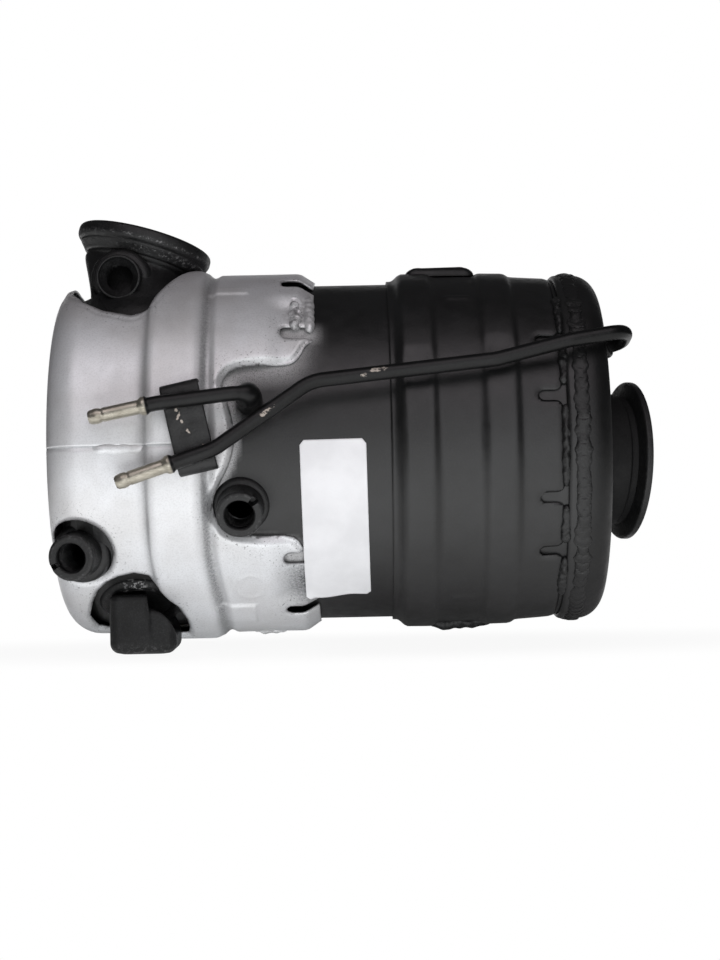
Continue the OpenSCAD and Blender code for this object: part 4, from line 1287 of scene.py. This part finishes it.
def welds(silver, black):
    """Lumps of weld that hold the shields, in silver or black as their shield is."""
    weld_bead("seam_weld", silver, (-116.0, -91.0), (1.4, 1.2), 83.2, 3.6, sink=0.72, seed=1.0, lumpy=0.1)
    weld_bead(
        "finger_weld_upper", silver, (-28.0, -27.0), (60.0, 42.0), 81.4, 2.7,
        sink=0.4, seed=2.0, scorch=0.65, lumpy=0.62,
    )
    weld_bead(
        "finger_edge_upper", silver, (-21.4, -21.0), (60.5, 41.0), 80.6, 2.4,
        sink=0.3, seed=9.0, scorch=0.3, lumpy=0.2,
    )
    weld_bead(
        "bottom_weld_inlet", silver, (-51.0, -35.0), (-84.0, -84.0), 83.6, 2.4,
        sink=0.5, seed=3.0, scorch=0.1,
    )
    weld_bead("bottom_weld_filter", black, (31.0, 60.0), (-86.0, -86.0), 82.6, 3.2, sink=0.45, seed=4.0)
    spans = ((-58.0, -39.0), (-33.0, -19.5), (-13.5, 13.0), (19.5, 33.0), (39.0, 58.0))
    for i, span in enumerate(spans):
        weld_bead(f"finger_weld_{i}", black, (89.6, 89.8), span, 79.6, 2.3, sink=0.45, seed=5.0 + i)


TAB_LEFT, TAB_RIGHT, TAB_HALF_DEGREES, TAB_R, TAB_CORNER = 23.0, 55.0, 8.0, 84.0, 4.0
# Rings of the tab from its foot to its flat top: share of its outline, radius
TAB_RINGS = (
    (1.0, 81.5), (1.0, 82.3), (0.95, 83.6), (0.88, 84.5),
    (0.79, 85.1), (0.69, 85.4), (0.5, 85.5), (0.2, 85.5),
)


def lap_tab(black):
    """The tab on top that joins the two halves of the filter shield."""
    deep = 2.0 * math.radians(TAB_HALF_DEGREES) * TAB_R
    loop = rounded_rectangle(TAB_RIGHT - TAB_LEFT, deep, TAB_CORNER, 6)
    rings = np.array([
        on_can(
            (TAB_LEFT + TAB_RIGHT) / 2 + loop[:, 0] * share, np.full(len(loop), radius),
            QUARTER + loop[:, 1] * share / TAB_R,
        )
        for share, radius in TAB_RINGS
    ])
    rings = rings + 0.8 * grain(rings, 7.0)[..., None] * UP
    points, faces = capped(rings)
    piece("lap_tab", points, faces, black, stands_for=False)


# Corners of the sticker from the upper left one, clockwise: x, degrees round the can
STICKER_CORNERS = np.array([(-25.9, 3.2), (3.0, 3.4), (3.9, -56.0), (-25.0, -54.6)])
STICKER_WIDE, STICKER_TALL, STICKER_CORNER, STICKER_THICK = 29.0, 84.0, 3.0, 0.15


def sticker(paper):
    """The blank sticker, bent round the can and over the edge of the inlet shield."""
    columns, rows = 50, 110
    across, down = np.meshgrid(np.linspace(0.0, 1.0, columns), np.linspace(0.0, 1.0, rows), indexing="ij")
    top = STICKER_CORNERS[0] + (STICKER_CORNERS[1] - STICKER_CORNERS[0]) * across[..., None]
    low = STICKER_CORNERS[3] + (STICKER_CORNERS[2] - STICKER_CORNERS[3]) * across[..., None]
    x, degrees = np.moveaxis(top + (low - top) * down[..., None], -1, 0)
    side = np.maximum(np.abs(across - 0.5) * STICKER_WIDE - (STICKER_WIDE / 2 - STICKER_CORNER), 0.0)
    end = np.maximum(np.abs(down - 0.5) * STICKER_TALL - (STICKER_TALL / 2 - STICKER_CORNER), 0.0)
    past_corner = np.hypot(side, end) - STICKER_CORNER
    angle = np.radians(degrees)
    flat = on_can(x, np.full(x.shape, CAN_R), angle)
    shield = pressed_shield(flat, np.interp(x, WAVE_PROFILE[:, 0], WAVE_PROFILE[:, 1]))
    over_shield = (1.0 - smooth(degrees, -34.0, -24.0)) * (1.0 - smooth(x, SHIELD_RIGHT, SHIELD_RIGHT + 16.0))
    radius = CAN_R + 0.25 + np.maximum(shield - CAN_R, 2.4) * over_shield
    faces = kept_faces(np.where(past_corner < 0.25, 1.0, -1.0))
    points = on_can(x, radius, angle).reshape(-1, 3)
    sheet_piece("sticker", points, faces, paper, STICKER_THICK, offset=1.0, stands_for=False)


# Stage

FLOOR_Z, FLOOR_NEAR, FLOOR_FAR, STAGE_HALF, BACKDROP_TALL = -93.0, -700.0, 1700.0, 900.0, 900.0
SHADE_MIDDLE, SHADE_HALF_X, SHADE_HALF_Y = (-10.0, 15.0, FLOOR_Z), 270.0, 82.0
CAMERA_PLACE, CAMERA_ROLL, CAMERA_LENS, SENSOR_WIDTH = np.array([0.0, -950.0, -13.5]), 1.2, 75.5, 36.0


def studio_world():
    """Even dim light from all round."""
    world = bpy.data.worlds.new("studio")
    bpy.context.scene.world = world
    world.use_nodes = True
    light = world.node_tree.nodes["Background"]
    light.inputs["Color"].default_value = (0.96, 0.97, 1.0, 1.0)
    light.inputs["Strength"].default_value = 0.06


def placed(obj, place):
    """Puts a lamp, a camera or a card at a place in the can frame."""
    bpy.context.collection.objects.link(obj)
    obj.location = (np.array(place) - OUTLET_FACE) * MM


def area_light(name, place, size, watts, color):
    """A lamp that shines on the middle of the can."""
    lamp = bpy.data.lights.new(name, "AREA")
    lamp.shape = "RECTANGLE"
    lamp.size, lamp.size_y = size[0] * MM, size[1] * MM
    lamp.energy = watts
    lamp.color = color
    obj = bpy.data.objects.new(name, lamp)
    placed(obj, place)
    obj.rotation_euler = Matrix(facing(place).tolist()).to_euler()


def camera():
    """The camera that took the photograph, as fitted to it."""
    roll = math.radians(CAMERA_ROLL)
    data = bpy.data.cameras.new("camera")
    data.lens = CAMERA_LENS
    data.sensor_width = SENSOR_WIDTH
    data.clip_end = 20.0
    obj = bpy.data.objects.new("camera", data)
    placed(obj, CAMERA_PLACE)
    right = np.array([math.cos(roll), 0.0, -math.sin(roll)])
    up = np.array([math.sin(roll), 0.0, math.cos(roll)])
    obj.rotation_euler = Matrix(np.column_stack([right, up, np.cross(right, up)]).tolist()).to_euler()
    bpy.context.scene.camera = obj


def stage_card(name, middle, corners, seen_shade, mirrored_shade):
    """A pale card, white to the camera and in reflections, that lets lamps behind it shine through.

    The shades are how much of the shadow below the part shows about the middle, to the camera and in
    reflections.
    """
    mesh = bpy.data.meshes.new(name)
    mesh.from_pydata((np.array(corners) * MM).tolist(), [], [(0, 1, 2, 3)])
    obj = bpy.data.objects.new(name, mesh)
    placed(obj, middle)
    card = Paint(name)
    path = card.add("ShaderNodeLightPath").outputs
    seen = path["Is Camera Ray"]
    for ray in ("Is Glossy Ray", "Is Transmission Ray"):
        seen = card.combined("MAXIMUM", seen, path[ray])
    shade_size = (1.0 / (SHADE_HALF_X * MM), 1.0 / (SHADE_HALF_Y * MM), 1.0)
    reach = card.add("ShaderNodeVectorMath")
    reach.operation = "LENGTH"
    card.put(reach.inputs[0], card.stretched(shade_size))
    darkest = card.mask(path["Is Camera Ray"], 0.0, 1.0, 1.0 - mirrored_shade, 1.0 - seen_shade)
    shaded = card.mask(reach.outputs["Value"], 0.4, 1.3, darkest, 1.0)
    pale = card.add("ShaderNodeBsdfDiffuse", Color=(0.8, 0.8, 0.8, 1.0)).outputs["BSDF"]
    white = card.add("ShaderNodeEmission", Color=(1.0, 1.0, 1.0, 1.0), Strength=1.0).outputs["Emission"]
    shown = card.mixed(card.times(seen, shaded), pale, white)
    clear = card.add("ShaderNodeBsdfTransparent").outputs["BSDF"]
    card.surface(card.mixed(path["Is Shadow Ray"], shown, clear))
    mesh.materials.append(card.material)


def floor_and_backdrop():
    """A pale floor that keeps the shadow of the part, and a card behind it."""
    sides = (-STAGE_HALF, STAGE_HALF, STAGE_HALF, -STAGE_HALF)
    depths = (FLOOR_NEAR, FLOOR_NEAR, FLOOR_FAR, FLOOR_FAR)
    heights = (0.0, 0.0, BACKDROP_TALL, BACKDROP_TALL)
    stage_card("floor", SHADE_MIDDLE, [(x, y, 0.0) for x, y in zip(sides, depths)], 0.07, 0.92)
    stage_card("backdrop", (0.0, FLOOR_FAR, FLOOR_Z), [(x, 0.0, z) for x, z in zip(sides, heights)], 0.0, 0.0)


# The whole part

def repaint(nodes, coat):
    """Gives CAD nodes that stay as they are one material."""
    for name in nodes:
        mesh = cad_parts[name].data
        mesh.materials.clear()
        mesh.materials.append(coat.material)


def build():
    silver, black, casting = silver_paint(), black_paint(), dark_casting()
    rough_black = black_paint("rough_black_paint", level=9, rough=(0.42, 0.54), lumps=0.8, gloss=0.42)
    fibre = fibre_mat()
    repaint(["inlet_dome"], rough_black)
    repaint(["catalyst_brick", "filter_brick"], ceramic_brick())
    repaint(["catalyst_mat", "filter_mat"], fibre)
    insulation(fibre)
    inlet_shield(silver)
    filter_shield(black)
    main_can(black)
    end_ring(black)
    end_weld(rough_black)
    outlet_cone(black_paint("end_black_paint", level=9, rough=(0.42, 0.54), lumps=0.3, gloss=0.34))
    # Painted shade: a darker copy of the black paint for the outlet neck, which sits in the shade between the
    # cone and the flange
    painted_shade_black = black_paint("painted_shade_black_paint", level=7, rough=(0.6, 0.75), lumps=0.3, gloss=0.25)
    outlet_pipe(painted_shade_black, casting)
    inlet_flange(casting)
    inlet_elbow(casting)
    sensor_bosses(casting)
    pressure_pipes(black_paint("pipe_black_paint", level=6, rough=(0.30, 0.40), lumps=0.3, gloss=0.28))
    pipe_bracket(rough_black)
    lug_casting = dark_casting("lug_casting", gloss=0.22)
    support_lug(lug_casting)
    lug_dish(lug_casting)
    welds(silver, rough_black)
    lap_tab(rough_black)
    sticker(label_paper())


build()
studio_world()
floor_and_backdrop()
area_light("key", (-30.0, -850.0, -500.0), size=(900.0, 560.0), watts=8.0, color=(0.97, 0.985, 1.0))
area_light("front", (250.0, -1130.0, 160.0), size=(900.0, 700.0), watts=2.8, color=(0.98, 0.98, 1.0))
area_light("top", (60.0, -780.0, 860.0), size=(1400.0, 850.0), watts=5.2, color=(1.0, 0.92, 0.965))
camera()
bpy.context.scene.view_settings.view_transform = "Standard"
